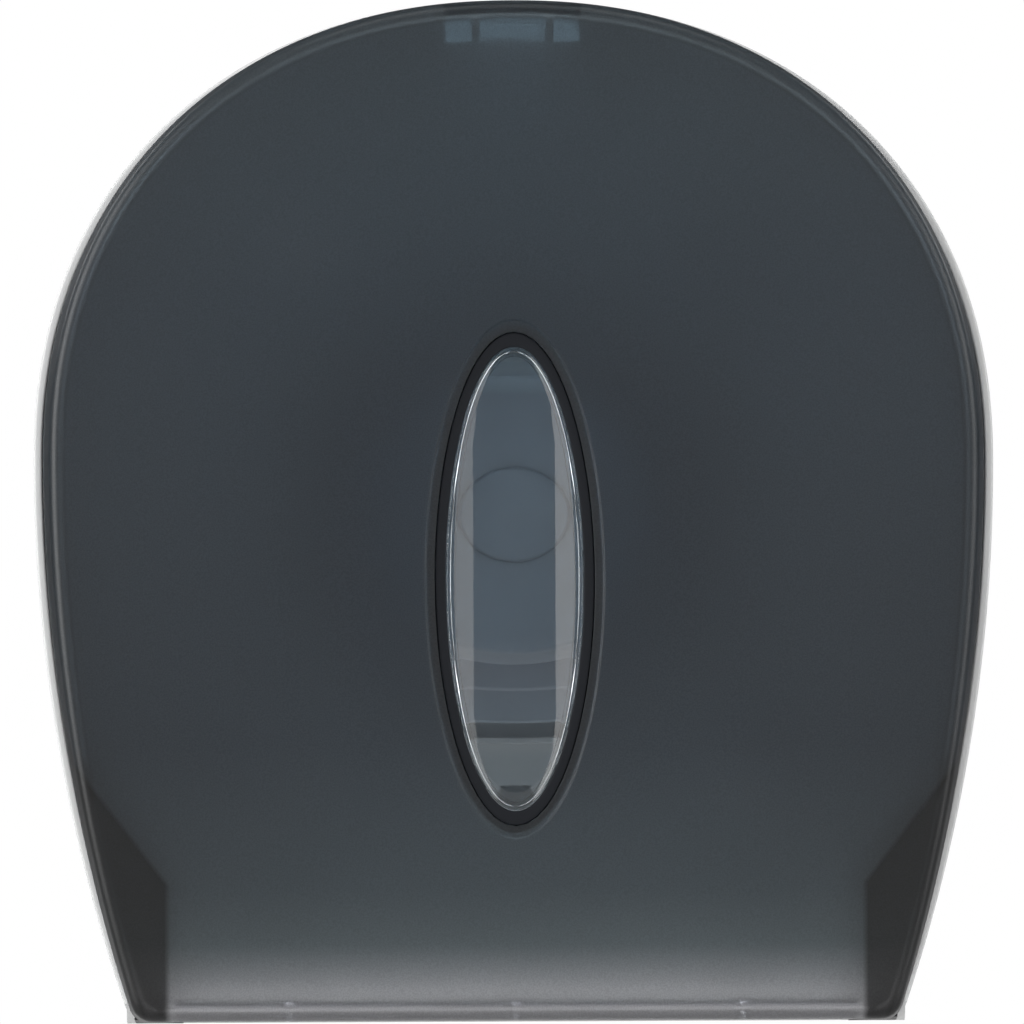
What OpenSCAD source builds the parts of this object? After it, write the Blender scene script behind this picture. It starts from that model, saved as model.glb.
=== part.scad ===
// Wall dispenser for one jumbo toilet roll, in millimetres.
// The wall is the plane y = 0 and the front faces -Y. The origin is where the roll's axis meets the wall.

/* [Body] */
// Height of the body
body_h = 286.8; // [270:0.1:300]
// Width of the back plate, the widest piece
body_w = 269.5; // [262:0.1:280]
// Depth from the wall to the front of the cover
body_d = 136.9; // [132:0.1:145]
// How far the roll's axis lies below mid-height
axis_drop = 1.2; // [0:0.1:3]
// Height of the widest level above mid-height
wide_rise = 14.2; // [8:0.1:22]
// Exponent of the superellipse that forms the top
crown_e = 2.18; // [2:0.01:2.4]

/* [Back plate] */
// Depth of the back plate from the wall to its rim
plate_d = 27; // [24:0.5:30]
// Thickness of the back plate's floor
floor_t = 2.5; // [2:0.1:3]
// Thickness of the back plate's side wall
plate_wall = 2.45; // [2:0.05:3]
// Radius of the back plate's long side curves
plate_flank_r = 480; // [470:1:520]
// Distance between the left and right wall screws
screw_dx = 120; // [100:1:130]
// Distance between the upper and lower wall screws
screw_dz = 150; // [140:1:160]
// Radius of the wall screw holes
screw_hole_r = 2.8; // [2.2:0.1:3]
// Radius of the bosses round the wall screw holes
screw_boss_r = 9; // [7:0.5:11]
// Height of the bosses and ribs above the floor
rib_h = 6; // [4:0.5:8]
// Thickness of the stiffening ribs
rib_t = 1.8; // [1.5:0.1:2.5]
// Radius of the stiffening ring round the spindle
ring_r = 62; // [55:1:66]

/* [Cover] */
// Wall thickness of the cover
cover_wall = 2.5; // [2.2:0.1:3]
// Radius of the cover's long side curves
cover_flank_r = 510; // [490:1:540]
// How far the back plate stands out past the cover at each side
rim_show = 2.65; // [2:0.05:3.5]
// Draft of the cover's sides and top over their depth
side_draft = 9.2; // [7:0.1:11]
// Draft of the cover's foot over its depth
foot_draft = 9; // [7:0.1:10]
// Radius of the edge round the front face
edge_r = 3; // [2:0.5:5]
// Crown of the front face
face_crown = 3.5; // [2:0.1:5]
// Radius of the two bottom corners
corner_r = 6; // [4:0.5:9]
// Depth of the skirt that slips inside the back plate
skirt_d = 4; // [3:0.5:6]
// Gap between the cover and the back plate
shell_gap = 0.4; // [0.3:0.05:0.6]

/* [Foot of the cover] */
// Distance from the foot's corner in to the paper exit
exit_inset = 15.1; // [14:0.1:19]
// Depth of the lip that the front face turns in below
lip_d = 14; // [12:0.5:17]
// Thickness of the two gusset walls
gusset_t = 2; // [1.6:0.1:2.5]
// Depth of the gusset walls behind the front
gusset_d = 57; // [50:1:62]
// Height of the gussets' upright stretch above the foot
gusset_upright = 46.4; // [40:0.5:52]
// Width of the gussets' slanted stretch
gusset_run = 26; // [23:0.5:30]
// Height of the gussets' slanted stretch
gusset_rise = 34; // [28:0.5:40]

/* [Cover hinge] */
// Radius of the hinge pins
pin_r = 1.6; // [1.4:0.1:2]
// Radius of the hinge knuckles
knuckle_r = 3.8; // [3.4:0.1:4]
// Distance from the foot's corner in to the inner side of each cover ear
ear_inset = 7.2; // [7:0.1:10]
// Width of each cover ear
ear_w = 5.4; // [4:0.1:5.6]
// Thickness of the back plate's hinge cheeks
cheek_t = 2.4; // [2:0.1:3]
// Radial clearance of a turning joint
run_gap = 0.05; // [0.03:0.01:0.08]
// Gap between the sides of parts that move past each other
side_gap = 0.3; // [0.25:0.05:0.4]

/* [Window] */
// Distance from the roll's axis down to the window's middle
window_drop = 16.7; // [10:0.1:22]
// Half width of the recess round the window
recess_a = 23.5; // [22.5:0.1:26]
// Half height of the recess round the window
recess_b = 68.2; // [66.5:0.1:72]
// Depth of the recess
recess_d = 0.9; // [0.6:0.1:1.2]
// Width of the recess ledge in front of the bezel
ledge_w = 2.4; // [2:0.1:3]
// Half height that the ledge takes at each end
ledge_h = 3.2; // [2.8:0.1:3.6]
// Width of the black bezel round the lens
bezel_w = 2.9; // [2.4:0.1:3.2]
// Half height that the bezel takes at each end
bezel_h = 3.9; // [3.4:0.1:4.2]
// Clearance round the bezel and the lens
window_gap = 0.15; // [0.1:0.05:0.3]
// Thickness of the lens
lens_t = 1.6; // [1.2:0.1:2]
// Crown of the lens
lens_crown = 1.4; // [0.8:0.1:1.6]

/* [Latch] */
// Half width of the latch button
button_half = 9.1; // [8:0.1:10]
// Distance from the centre to the inner side of each guide post
post_x = 10.8; // [10.4:0.1:12]
// Width of each guide post
post_w = 6.8; // [6:0.1:7.5]
// Height of the latch button and the guide posts
button_h = 10.4; // [9:0.1:11]
// Depth of the latch button and the guide posts
button_d = 15; // [12:0.5:17]
// Distance of the lever's pivot behind the front
pivot_back = 42; // [38:0.5:46]
// Depth of the seat of the latch bracket below the body's top
seat_drop = 10.4; // [9.8:0.1:10.8]
// Radius of the lever's pivot pin
pivot_r = 1.5; // [1.2:0.1:1.8]
// Thickness of the keeper
keeper_t = 2.5; // [2:0.1:3]
// Distance of the keeper's upper face below the body's top
keeper_drop = 19.4; // [19:0.1:20.5]
// Distance from the wall to the front end of the keeper
keeper_reach = 42; // [40:0.5:44]
// Size of the keeper's window from wall to room
keeper_window = 7; // [6.5:0.1:8]
// Height of the lever's tooth above the keeper when it is released
tooth_clear = 1.2; // [1:0.1:1.4]
// How far the tooth drops to lock
tooth_drop = 2.7; // [2.2:0.1:3]

/* [Spindle and hub] */
// Radius of the spindle
spindle_r = 7; // [6:0.1:8]
// Radius of the spindle's flange
flange_r = 24; // [20:0.5:26]
// Thickness of the spindle's flange
flange_t = 3; // [2.5:0.1:4]
// Distance from the wall to the end of the spindle
spindle_end = 94.7; // [92:0.1:98]
// Wall thickness of the hub's bushes
bush_wall = 1.75; // [1.5:0.05:2]
// Radius of the hub where the roll's core sits
hub_r = 40; // [38:0.1:41]
// Radius of the hub's leading edge
nose_r = 36.5; // [34:0.1:37.5]
// Wall thickness of the hub
hub_wall = 2; // [1.6:0.1:2.5]
// Radius of the hub's rear flange
rear_flange_r = 57; // [53:0.5:60]
// Radius of the step on the rear flange
step_r = 48; // [46:0.5:50]
// Distance from the wall to the hub's rear flange
hub_back = 20; // [19:0.5:22]
// Number of spokes inside the hub
spokes = 8; // [6:1:10]
// Radius of the cap on the hub
cap_r = 12.6; // [12.3:0.1:14]

/* [Tear bar] */
// Pitch of the teeth
tooth_pitch = 3; // [2:0.5:5]
// Height of the teeth
tooth_h = 1.8; // [1.4:0.1:2.2]
// Thickness of the tear bar
bar_t = 1.2; // [1:0.1:1.4]

/* [Hidden] */

eps = 0.01;
smoke = [0.24, 0.26, 0.29];
pale_grey = [0.8, 0.8, 0.78];
mid_grey = [0.62, 0.63, 0.64];
steel = [0.7, 0.71, 0.73];
black = [0.07, 0.07, 0.08];
clear = [0.75, 0.83, 0.87, 0.6];

top_z = body_h / 2 + axis_drop;
bottom_z = axis_drop - body_h / 2;
wide_z = axis_drop + wide_rise;
window_z = -window_drop;
cover_half_w = body_w / 2 - rim_show;
crown_steps = 44;
flank_steps = 13;
corner_steps = 4;
foot_steps = 14;
ellipse_steps = 72;
thread_gap = 0.05;
face_gap = 0.3;

// Distances from the wall
part_y = plate_d + shell_gap;
face_y = body_d - face_crown;
inner_face = body_d - cover_wall;

// Half width where the long side curves reach the foot, which the hinge and the exit keep to
foot_half = flank_x(body_w / 2, plate_flank_r, bottom_z);
exit_half = foot_half - exit_inset;
ear_x = foot_half - ear_inset;

hinge_z = bottom_z + knuckle_r;
hinge_y = plate_d;

// ---------- outlines ----------

function signed_pow(v, e) = sign(v) * pow(abs(v), e);

function flank_x(w, r, z) = w - r + sqrt(r * r - pow(wide_z - z, 2));

// Closed outline: a superellipse over the top, long arcs down the sides, a flat foot with round corners.
// w is the half width, up and down are the top and bottom levels and r is the radius of the sides.
function outline(w, up, down, r, corner = corner_r) =
    let (
        lean = asin((wide_z - down) / r),
        side_end = down + corner * (1 - sin(lean)),
        side_x = flank_x(w, r, side_end),
        corner_x = side_x - corner * cos(lean)
    )
    concat(
        [for (i = [0:crown_steps])
            let (a = 180 * i / crown_steps)
            [w * signed_pow(cos(a), 2 / crown_e), wide_z + (up - wide_z) * pow(abs(sin(a)), 2 / crown_e)]],
        [for (i = [1:flank_steps])
            let (z = wide_z + (side_end - wide_z) * i / flank_steps)
            [-flank_x(w, r, z), z]],
        [for (i = [1:corner_steps])
            let (a = 180 + lean + (90 - lean) * i / corner_steps)
            [-corner_x + corner * cos(a), down + corner + corner * sin(a)]],
        [for (i = [1:foot_steps])
            [corner_x * (2 * i / foot_steps - 1), down]],
        [for (i = [1:corner_steps])
            let (a = 270 + (90 - lean) * i / corner_steps)
            [corner_x + corner * cos(a), down + corner + corner * sin(a)]],
        [for (i = [1:flank_steps - 1])
            let (z = side_end + (wide_z - side_end) * i / flank_steps)
            [flank_x(w, r, z), z]]
    );

function ellipse_points(a, b, n = ellipse_steps) = [for (i = [0:n - 1]) [a * cos(360 * i / n), b * sin(360 * i / n)]];

// The window's ellipse with one point for each point of the outline, at the same bearing
function ellipse_toward(points, a, b) =
    [for (p = points)
        let (dx = p[0] / a, dz = (p[1] - window_z) / b, k = norm([dx, dz]))
        [p[0] / k, window_z + (p[1] - window_z) / k]];

function plate_outline(inset) =
    outline(body_w / 2 - inset, top_z - inset, bottom_z + inset, plate_flank_r - inset);

// The cover's outline, drawn in by a share s of its draft and then by a wall thickness
function cover_outline(s, inset) =
    outline(
        cover_half_w - s * side_draft - inset,
        top_z - s * side_draft - inset,
        bottom_z + s * foot_draft + inset,
        cover_flank_r - s * side_draft - inset
    );

function skirt_outline(inset) = plate_outline(plate_wall + shell_gap + inset);

function blend(a, b, s) = [for (i = [0:len(a) - 1]) a[i] + (b[i] - a[i]) * s];

function at_depth(points, y) = [for (p = points) [p[0], -y, p[1]]];

function mean(points) = [for (axis = [0:2]) let (v = [for (p = points) p[axis]]) sum(v) / len(v)];

function sum(v, i = 0) = i < len(v) ? v[i] + sum(v, i + 1) : 0;

// Closed solid through rings with the same number of points. Seen from the last ring, each runs
// anticlockwise, and each end is closed by a fan to its middle.
module loft(rings) {
    n = len(rings[0]);
    last = len(rings) - 1;
    start_middle = n * len(rings);
    end_middle = start_middle + 1;
    polyhedron(
        points = concat([for (r = rings) each r], [mean(rings[0])], [mean(rings[last])]),
        faces = concat(
            [for (i = [0:n - 1]) [start_middle, i, (i + 1) % n]],
            [for (k = [0:last - 1], i = [0:n - 1])
                let (j = (i + 1) % n)
                [k * n + j, k * n + i, (k + 1) * n + j]],
            [for (k = [0:last - 1], i = [0:n - 1])
                let (j = (i + 1) % n)
                [(k + 1) * n + j, k * n + i, (k + 1) * n + i]],
            [for (i = [0:n - 1]) [end_middle, last * n + (i + 1) % n, last * n + i]]
        )
    );
}

// The cover's filled form, drawn in all round by inset. back is where it starts, from the wall.
edge_steps = [0, 22.5, 45, 67.5, 90];
face_steps = [0.8, 0.6, 0.4, 0.2, 0];
module cover_form(inset, back) {
    edge_y = face_y - edge_r;
    face_edge = cover_outline(1, inset + edge_r);
    window_edge = ellipse_toward(face_edge, recess_a + 1 - inset / 2, recess_b + 1 - inset / 2);
    loft(concat(
        [at_depth(skirt_outline(inset), back)],
        [at_depth(skirt_outline(inset), part_y - inset / 2)],
        [at_depth(cover_outline(0, inset), part_y + inset / 2)],
        [for (a = edge_steps)
            at_depth(
                cover_outline(1, inset + edge_r * (1 - cos(a))),
                edge_y - inset + edge_r * sin(a)
            )],
        [for (s = face_steps)
            at_depth(
                blend(window_edge, face_edge, s),
                body_d - inset - face_crown * s * s
            )]
    ));
}

// Elliptical plate on the window's axis, between two distances from the wall
module window_plate(a, b, from, to) {
    translate([0, -from, window_z])
        rotate([90, 0, 0])
            linear_extrude(to - from)
                polygon(ellipse_points(a, b));
}

// Prism of an outline in the XZ plane, between two distances from the wall
module wall_prism(points, from, to) {
    translate([0, -from, 0])
        rotate([90, 0, 0])
            linear_extrude(to - from)
                polygon(points);
}

// Prism of an outline in the YZ plane, given as distance from the wall and height
module side_prism(points, x_from, x_to) {
    translate([x_from, 0, 0])
        rotate([90, 0, 90])
            linear_extrude(x_to - x_from)
                polygon([for (p = points) [-p[0], p[1]]]);
}

// Box between two corners, given as x, distance from the wall and height
module block(x, y, z) {
    translate([x[0], -y[1], z[0]])
        cube([x[1] - x[0], y[1] - y[0], z[1] - z[0]]);
}

// Cylinder along Y, between two distances from the wall
module rod_y(r, from, to, x = 0, z = 0) {
    translate([x, -from, z])
        rotate([90, 0, 0])
            cylinder(r = r, h = to - from, $fn = 64);
}

module rod_x(r, from, to, y, z) {
    translate([from, -y, z])
        rotate([0, 90, 0])
            cylinder(r = r, h = to - from, $fn = 48);
}

module rod_z(r, x, y, from, to) {
    translate([x, -y, from])
        cylinder(r = r, h = to - from, $fn = 32);
}

// Revolve round the roll's axis, of points given as radius and distance from the wall
module turned(points) {
    rotate([90, 0, 0])
        rotate_extrude($fn = 128)
            polygon(points);
}

module both_sides() {
    children();
    mirror([1, 0, 0])
        children();
}

// Level of the cover's outer top on the centre line, at a distance from the wall
function cover_top(y) = top_z - side_draft * (y - part_y) / (face_y - edge_r - part_y);

// Level of the underside of the cover's foot, at a distance from the wall
function cover_foot(y) = bottom_z + foot_draft * (y - part_y) / (face_y - edge_r - part_y);

module at_wall_screws() {
    for (sx = [-1, 1], sz = [-1, 1])
        translate([sx * screw_dx / 2, 0, sz * screw_dz / 2])
            children();
}

// ---------- back plate ----------

boss_top = floor_t + rib_h;
spindle_boss_r = flange_r + 3;
spindle_seat = floor_t + 3;
flange_screw_r = 1.6;
flange_screw_at = flange_r - 5;
flange_screws = 4;
notch_back = 8;
cheek_reach = 9;
keeper_plate_w = 28;
keeper_plate_h = 20;
keeper_screw_x = 6.5;
keeper_z = top_z - keeper_drop;
keeper_foot_z = keeper_z - keeper_t / 2 - 5;
keeper_screw_r = 1.5;
screw_head_h = 1.6;

module at_flange_screws() {
    for (i = [0:flange_screws - 1])
        rotate([0, 45 + 360 * i / flange_screws, 0])
            translate([0, 0, flange_screw_at])
                children();
}

module hinge_cheek(from) {
    rod_x(knuckle_r, from, from + cheek_t, hinge_y, hinge_z);
    block([from, from + cheek_t], [plate_d - cheek_reach, hinge_y], [bottom_z + eps, hinge_z + knuckle_r]);
}

rib_rise = 30;
rib_reach = 40;

module back_ribs() {
    ring_t = rib_t / 2;
    difference() {
        rod_y(ring_r + ring_t, floor_t - eps, boss_top);
        rod_y(ring_r - ring_t, floor_t - 2 * eps, boss_top + eps);
    }
    both_sides()
        block([screw_dx / 2 - rib_t / 2, screw_dx / 2 + rib_t / 2], [floor_t - eps, boss_top],
            [bottom_z + plate_wall / 2, screw_dz / 2 + rib_rise]);
    for (z = [-screw_dz / 2, screw_dz / 2])
        block([-screw_dx / 2 - rib_reach, screw_dx / 2 + rib_reach], [floor_t - eps, boss_top],
            [z - rib_t / 2, z + rib_t / 2]);
}

module back_plate() {
    color(pale_grey)
        difference() {
            union() {
                difference() {
                    wall_prism(plate_outline(0), 0, plate_d);
                    wall_prism(plate_outline(plate_wall), floor_t, plate_d + 1);
                }
                difference() {
                    back_ribs();
                    rod_y(spindle_boss_r, floor_t, boss_top + 1);
                }
                rod_y(spindle_boss_r, floor_t - eps, spindle_seat);
                at_wall_screws()
                    rod_y(screw_boss_r, floor_t - eps, boss_top);
                both_sides() {
                    hinge_cheek(ear_x - side_gap - cheek_t);
                    hinge_cheek(ear_x + ear_w + side_gap);
                }
            }
            at_wall_screws()
                rod_y(screw_hole_r, -1, boss_top + 1);
            at_flange_screws()
                rod_y(flange_screw_r + thread_gap, -1, spindle_seat + 1);
            for (x = [-keeper_screw_x, keeper_screw_x])
                rod_y(keeper_screw_r + thread_gap, -1, floor_t + 1, x, keeper_foot_z);
            both_sides() {
                rod_x(pin_r, ear_x - 2 * cheek_t, ear_x + ear_w + 2 * cheek_t, hinge_y, hinge_z);
                block([ear_x - side_gap, ear_x + ear_w + side_gap], [plate_d - notch_back, plate_d + 5],
                    [bottom_z - 1, hinge_z + knuckle_r + 1]);
            }
        }
}

// ---------- spindle, brake and hub ----------

flange_face = spindle_seat + flange_t;
pad_t = 2.5;
spring_h = 3;
pad_back = flange_face + spring_h;
pad_r = 13;
bush_r = spindle_r + run_gap + bush_wall;
bush_flange_t = 2;
hub_tube_r = bush_r + 3.7;
tube_back = pad_back + pad_t + face_gap + bush_flange_t;
bush_len = 9;
front_seat = spindle_end - 1.5;
front_flange_t = front_seat + 1.2;
hub_front = spindle_end + 2.3;
web_t = 2.5;
well_r = bush_r + 2.4;
washer_r = spindle_r + 2.5;
washer_t = 1;
retainer_r = 2.5;
retainer_head_r = 4.5;
retainer_head_h = 2.3;
retainer_len = 12;
lead_in = 9;
step_t = 3;
rear_flange_t = 2.5;
spoke_t = 1.6;

module spindle_post() {
    color(steel)
        difference() {
            union() {
                rod_y(flange_r, spindle_seat, flange_face);
                rod_y(spindle_r, flange_face - eps, spindle_end);
            }
            at_flange_screws()
                rod_y(flange_screw_r + thread_gap, spindle_seat - 1, flange_face + 1);
            rod_y(retainer_r + thread_gap, spindle_end - retainer_len - 2, spindle_end + 1);
        }
}

// Pan-head screw along Y with its head toward the room and a cross recess in the head
module screw_y(r, tip, seat, head_r, head_h) {
    slot = head_r / 3.5;
    difference() {
        union() {
            rod_y(r, tip, seat + eps);
            rod_y(head_r, seat, seat + head_h);
        }
        for (turn = [0, 90])
            rotate([0, turn, 0])
                block([-head_r * 0.6, head_r * 0.6], [seat + head_h * 0.45, seat + head_h + 1],
                    [-slot / 2, slot / 2]);
    }
}

module spindle_screws() {
    color(steel)
        at_flange_screws()
            screw_y(flange_screw_r, floor_t - 1, flange_face, flange_screw_r * 1.9, screw_head_h);
}

// Coned spring washer that presses the brake pad
module brake_spring() {
    inner = spindle_r + 0.4;
    strip = 0.8;
    color(steel)
        turned([
            [inner, flange_face + spring_h - strip], [pad_r - 1, flange_face],
            [pad_r - 1, flange_face + strip], [inner, flange_face + spring_h]
        ]);
}

module brake_pad() {
    inner = spindle_r + 0.4;
    color(black)
        turned([
            [inner, pad_back], [pad_r, pad_back], [pad_r, pad_back + pad_t], [inner, pad_back + pad_t]
        ]);
}

module hub_shell() {
    drum_back = hub_back + rear_flange_t;
    inside = hub_r - hub_wall;
    turned([
        [hub_tube_r - 1, tube_back], [hub_tube_r, tube_back + 1],
        [hub_tube_r, hub_front - web_t], [nose_r - hub_wall, hub_front - web_t],
        [inside, hub_front - lead_in - web_t / 2], [inside, hub_back],
        [rear_flange_r - 0.8, hub_back], [rear_flange_r, hub_back + 0.8],
        [rear_flange_r, drum_back - 0.5], [rear_flange_r - 0.5, drum_back],
        [step_r, drum_back], [step_r, drum_back + step_t - 0.6], [step_r - 0.6, drum_back + step_t],
        [hub_r, drum_back + step_t], [hub_r, hub_front - lead_in],
        [nose_r + 0.6, hub_front - 0.9], [nose_r - 0.4, hub_front],
        [well_r, hub_front], [well_r, front_seat], [bush_r, front_seat], [bush_r, tube_back]
    ]);
}

module hub_spokes() {
    for (i = [0:spokes - 1])
        rotate([0, 360 * (i + 0.5) / spokes, 0])
            block([hub_tube_r - 0.5, hub_r - hub_wall / 2], [hub_back + 1, hub_front - lead_in - 2],
                [-spoke_t / 2, spoke_t / 2]);
}

module roll_hub() {
    color(mid_grey)
        union() {
            hub_shell();
            hub_spokes();
        }
}

module hub_bush_rear() {
    flange_back = pad_back + pad_t + face_gap;
    color(black)
        turned([
            [spindle_r + run_gap, flange_back], [hub_tube_r - 1, flange_back],
            [hub_tube_r - 1, tube_back], [bush_r, tube_back],
            [bush_r, tube_back + bush_len], [spindle_r + run_gap, tube_back + bush_len]
        ]);
}

module hub_bush_front() {
    color(black)
        turned([
            [spindle_r + run_gap, front_seat - bush_len], [bush_r, front_seat - bush_len],
            [bush_r, front_seat], [well_r - 0.4, front_seat],
            [well_r - 0.4, front_flange_t], [spindle_r + run_gap, front_flange_t]
        ]);
}

module spindle_washer() {
    color(steel)
        turned([
            [retainer_r + thread_gap, spindle_end], [washer_r, spindle_end],
            [washer_r, spindle_end + washer_t], [retainer_r + thread_gap, spindle_end + washer_t]
        ]);
}

module spindle_screw() {
    color(steel)
        screw_y(retainer_r, spindle_end - retainer_len, spindle_end + washer_t, retainer_head_r, retainer_head_h);
}

// Snap-in cap with a slightly domed face
module hub_cap() {
    skirt_out = well_r - thread_gap;
    skirt_in = skirt_out - 1.3;
    rim_t = 1.6;
    dome_h = 1.2;
    color(mid_grey)
        turned(concat(
            [
                [0, hub_front + rim_t - 0.2], [skirt_in, hub_front + rim_t - 0.2], [skirt_in, hub_front - 1.9],
                [skirt_out, hub_front - 1.9], [skirt_out, hub_front], [cap_r, hub_front],
                [cap_r, hub_front + rim_t * 0.6]
            ],
            [for (a = [0:15:90])
                [(cap_r - 0.5) * cos(a), hub_front + rim_t + dome_h * sin(a)]]
        ));
}

// ---------- keeper ----------

window_back = keeper_reach - 4 - keeper_window;
keeper_half = button_half + 3.4;
keeper_window_half = button_half + 0.6;

// Bracket on the back plate whose tongue has a window for the lever's tooth
module latch_keeper() {
    color(steel)
        difference() {
            union() {
                block([-keeper_plate_w / 2, keeper_plate_w / 2], [floor_t, floor_t + keeper_t],
                    [keeper_z - keeper_t - keeper_plate_h / 2, keeper_z + 2]);
                block([-keeper_half, keeper_half], [floor_t, keeper_reach], [keeper_z - keeper_t, keeper_z]);
                both_sides()
                    side_prism([
                        [floor_t + keeper_t - 1, keeper_z - keeper_t - 8], [floor_t + keeper_t, keeper_z - keeper_t - 8],
                        [window_back - 6, keeper_z - keeper_t + 1], [floor_t + keeper_t - 1, keeper_z - keeper_t + 1]
                    ], keeper_half - 2, keeper_half);
            }
            block([-keeper_window_half, keeper_window_half], [window_back, window_back + keeper_window],
                [keeper_z - keeper_t - 1, keeper_z + 1]);
            for (x = [-keeper_screw_x, keeper_screw_x])
                rod_y(keeper_screw_r + thread_gap, 0, floor_t + keeper_t + 1, x, keeper_foot_z);
        }
}

module keeper_screws() {
    color(steel)
        for (x = [-keeper_screw_x, keeper_screw_x])
            translate([x, 0, keeper_foot_z])
                screw_y(keeper_screw_r, floor_t - 1.5, floor_t + keeper_t, keeper_screw_r * 1.9, screw_head_h);
}

// ---------- hinge pins ----------

module hinge_pin(side) {
    color(steel)
        mirror([side < 0 ? 1 : 0, 0, 0])
            rod_x(pin_r, ear_x - side_gap - cheek_t, ear_x + ear_w + side_gap + cheek_t, hinge_y, hinge_z);
}

// ---------- cover ----------

lip_y = body_d - lip_d;
hinge_trim_y = hinge_y + 5;
hinge_trim_up = 9;
hinge_trim_z = hinge_z + hinge_trim_up;
gusset_bend_z = bottom_z + gusset_upright;
ear_arm = 12;

// Wall that rises from the foot and then slants out to the side of the cover
module gusset() {
    x = exit_half;
    bend = gusset_t / 2;
    wall_prism([
        [x, bottom_z], [x + gusset_t, bottom_z], [x + gusset_t, gusset_bend_z - 2 - bend],
        [x + gusset_t + 1, gusset_bend_z + 1 - bend],
        [x + gusset_run + gusset_t, gusset_bend_z + gusset_rise - bend],
        [x + gusset_run, gusset_bend_z + gusset_rise + bend],
        [x + 1.4, gusset_bend_z + 2.4], [x, gusset_bend_z - 2]
    ], body_d - gusset_d, body_d);
}

module cover_ear() {
    rod_x(knuckle_r, ear_x, ear_x + ear_w, hinge_y, hinge_z);
    side_prism([
        [hinge_y, hinge_z - knuckle_r], [hinge_y, hinge_z + knuckle_r],
        [hinge_y + ear_arm, hinge_z + knuckle_r * 0.6], [hinge_y + ear_arm, bottom_z + 2],
        [hinge_y + ear_arm / 2, bottom_z + 0.6]
    ], ear_x, ear_x + ear_w);
}

// Pads inside the top wall that the latch bracket is screwed to
bracket_back = 53;
bracket_d = 16;
pad_y = [body_d - bracket_back, body_d - bracket_back + bracket_d];
rail_t = 3;
seat_z = top_z - seat_drop;
bracket_screw_r = 1.2;
bracket_head_r = bracket_screw_r * 1.9;
bracket_screw_up = 3;
bracket_screw_x = post_x + rail_t + bracket_head_r + side_gap;
bracket_screw_y = body_d - bracket_back + bracket_d / 2;
bracket_half = bracket_screw_x + bracket_head_r + 0.6;

module bracket_pad() {
    block([post_x + rail_t, bracket_half], pad_y, [seat_z, top_z]);
}

opening_a = recess_a - ledge_w;
opening_b = recess_b - ledge_h;
notch_front = face_y - edge_r - 1;
button_front = notch_front - side_gap;
button_back = button_front - button_d;

module front_cover() {
    color(smoke)
        difference() {
            union() {
                difference() {
                    cover_form(0, plate_d - skirt_d);
                    cover_form(cover_wall, plate_d - skirt_d - 1);
                    block([-body_w, body_w], [0, hinge_trim_y], [bottom_z - 5, hinge_trim_z]);
                }
                intersection() {
                    both_sides() {
                        gusset();
                        bracket_pad();
                    }
                    cover_form(cover_wall / 2, 0);
                }
                both_sides()
                    cover_ear();
            }
            window_plate(recess_a, recess_b, body_d - recess_d, body_d + 1);
            window_plate(opening_a, opening_b, body_d - 3 * cover_wall, body_d + 1);
            block([-exit_half, exit_half], [0, lip_y], [bottom_z - 5, bottom_z + foot_draft + 2 * cover_wall]);
            block([-post_x - post_w - side_gap, post_x + post_w + side_gap],
                [button_back - side_gap, notch_front], [seat_z - 4, top_z]);
            for (x = bar_screw_x)
                rod_z(bar_screw_r + thread_gap, x, bar_screw_y, bar_seat_z - bar_screw_down - 0.2, bar_seat_z + 1);
            both_sides() {
                rod_x(pin_r + run_gap, ear_x - 1, ear_x + ear_w + 1, hinge_y, hinge_z);
                rod_z(bracket_screw_r + thread_gap, bracket_screw_x, bracket_screw_y,
                    seat_z - 1, seat_z + bracket_screw_up + 0.2);
            }
        }
}

// ---------- window ----------

bezel_flange = 1.8;
bezel_flange_t = 1.5;
bezel_front = body_d - recess_d - 0.5;
bezel_back = inner_face - bezel_flange_t;
lens_a = opening_a - bezel_w;
lens_b = opening_b - bezel_h;

// Black ring that lines the window, with a flange behind the front face
module window_bezel() {
    color(black)
        difference() {
            union() {
                window_plate(opening_a - window_gap, opening_b - window_gap, bezel_back, bezel_front);
                window_plate(opening_a + bezel_flange, opening_b + bezel_flange, bezel_back, inner_face);
            }
            window_plate(lens_a, lens_b, bezel_back - 1, bezel_front + 1);
        }
}

module lens_ring(a, b, from, to, wall) {
    difference() {
        window_plate(a, b, from, to);
        window_plate(a - wall, b - wall, from - 1, to + 1);
    }
}

// Clear domed lens with a skirt, and snap hooks on it that catch behind the bezel
// Height above the window's middle and width of each pair of hooks
snap_levels = [[-52, 6], [-36.5, 7], [0, 15], [36.5, 7], [52, 6]];
snap_reach = 1.2;

module window_lens() {
    skirt_back = bezel_back - 1.6;
    skirt_t = 1.3;
    rim_t = 2.2;
    a = lens_a - window_gap;
    b = lens_b - window_gap;
    rim_front = bezel_front - 0.3;
    crown_rings = [1, 0.86, 0.7, 0.5, 0.28, 0.1];
    rings = concat([[1, skirt_back]], [for (s = crown_rings) [s, rim_front + lens_crown * (1 - s * s)]]);
    color(clear)
        union() {
            difference() {
                loft([for (ring = rings)
                    [for (p = ellipse_points(a * ring[0], b * ring[0]))
                        [p[0], -ring[1], window_z + p[1]]]]);
                window_plate(a - skirt_t, b - skirt_t, skirt_back - 1, rim_front - lens_t);
                window_plate(a - rim_t, b - rim_t, rim_front - lens_t - 1, rim_front - lens_t * 0.6);
            }
            intersection() {
                lens_ring(a + snap_reach, b + snap_reach, skirt_back + 0.2, bezel_back - face_gap,
                    snap_reach + skirt_t / 2);
                union()
                    for (snap = snap_levels)
                        block([-recess_a, recess_a], [skirt_back - 1, bezel_back + 1],
                            [window_z + snap[0] - snap[1] / 2, window_z + snap[0] + snap[1] / 2]);
            }
        }
}

// ---------- tear bar ----------

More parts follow.
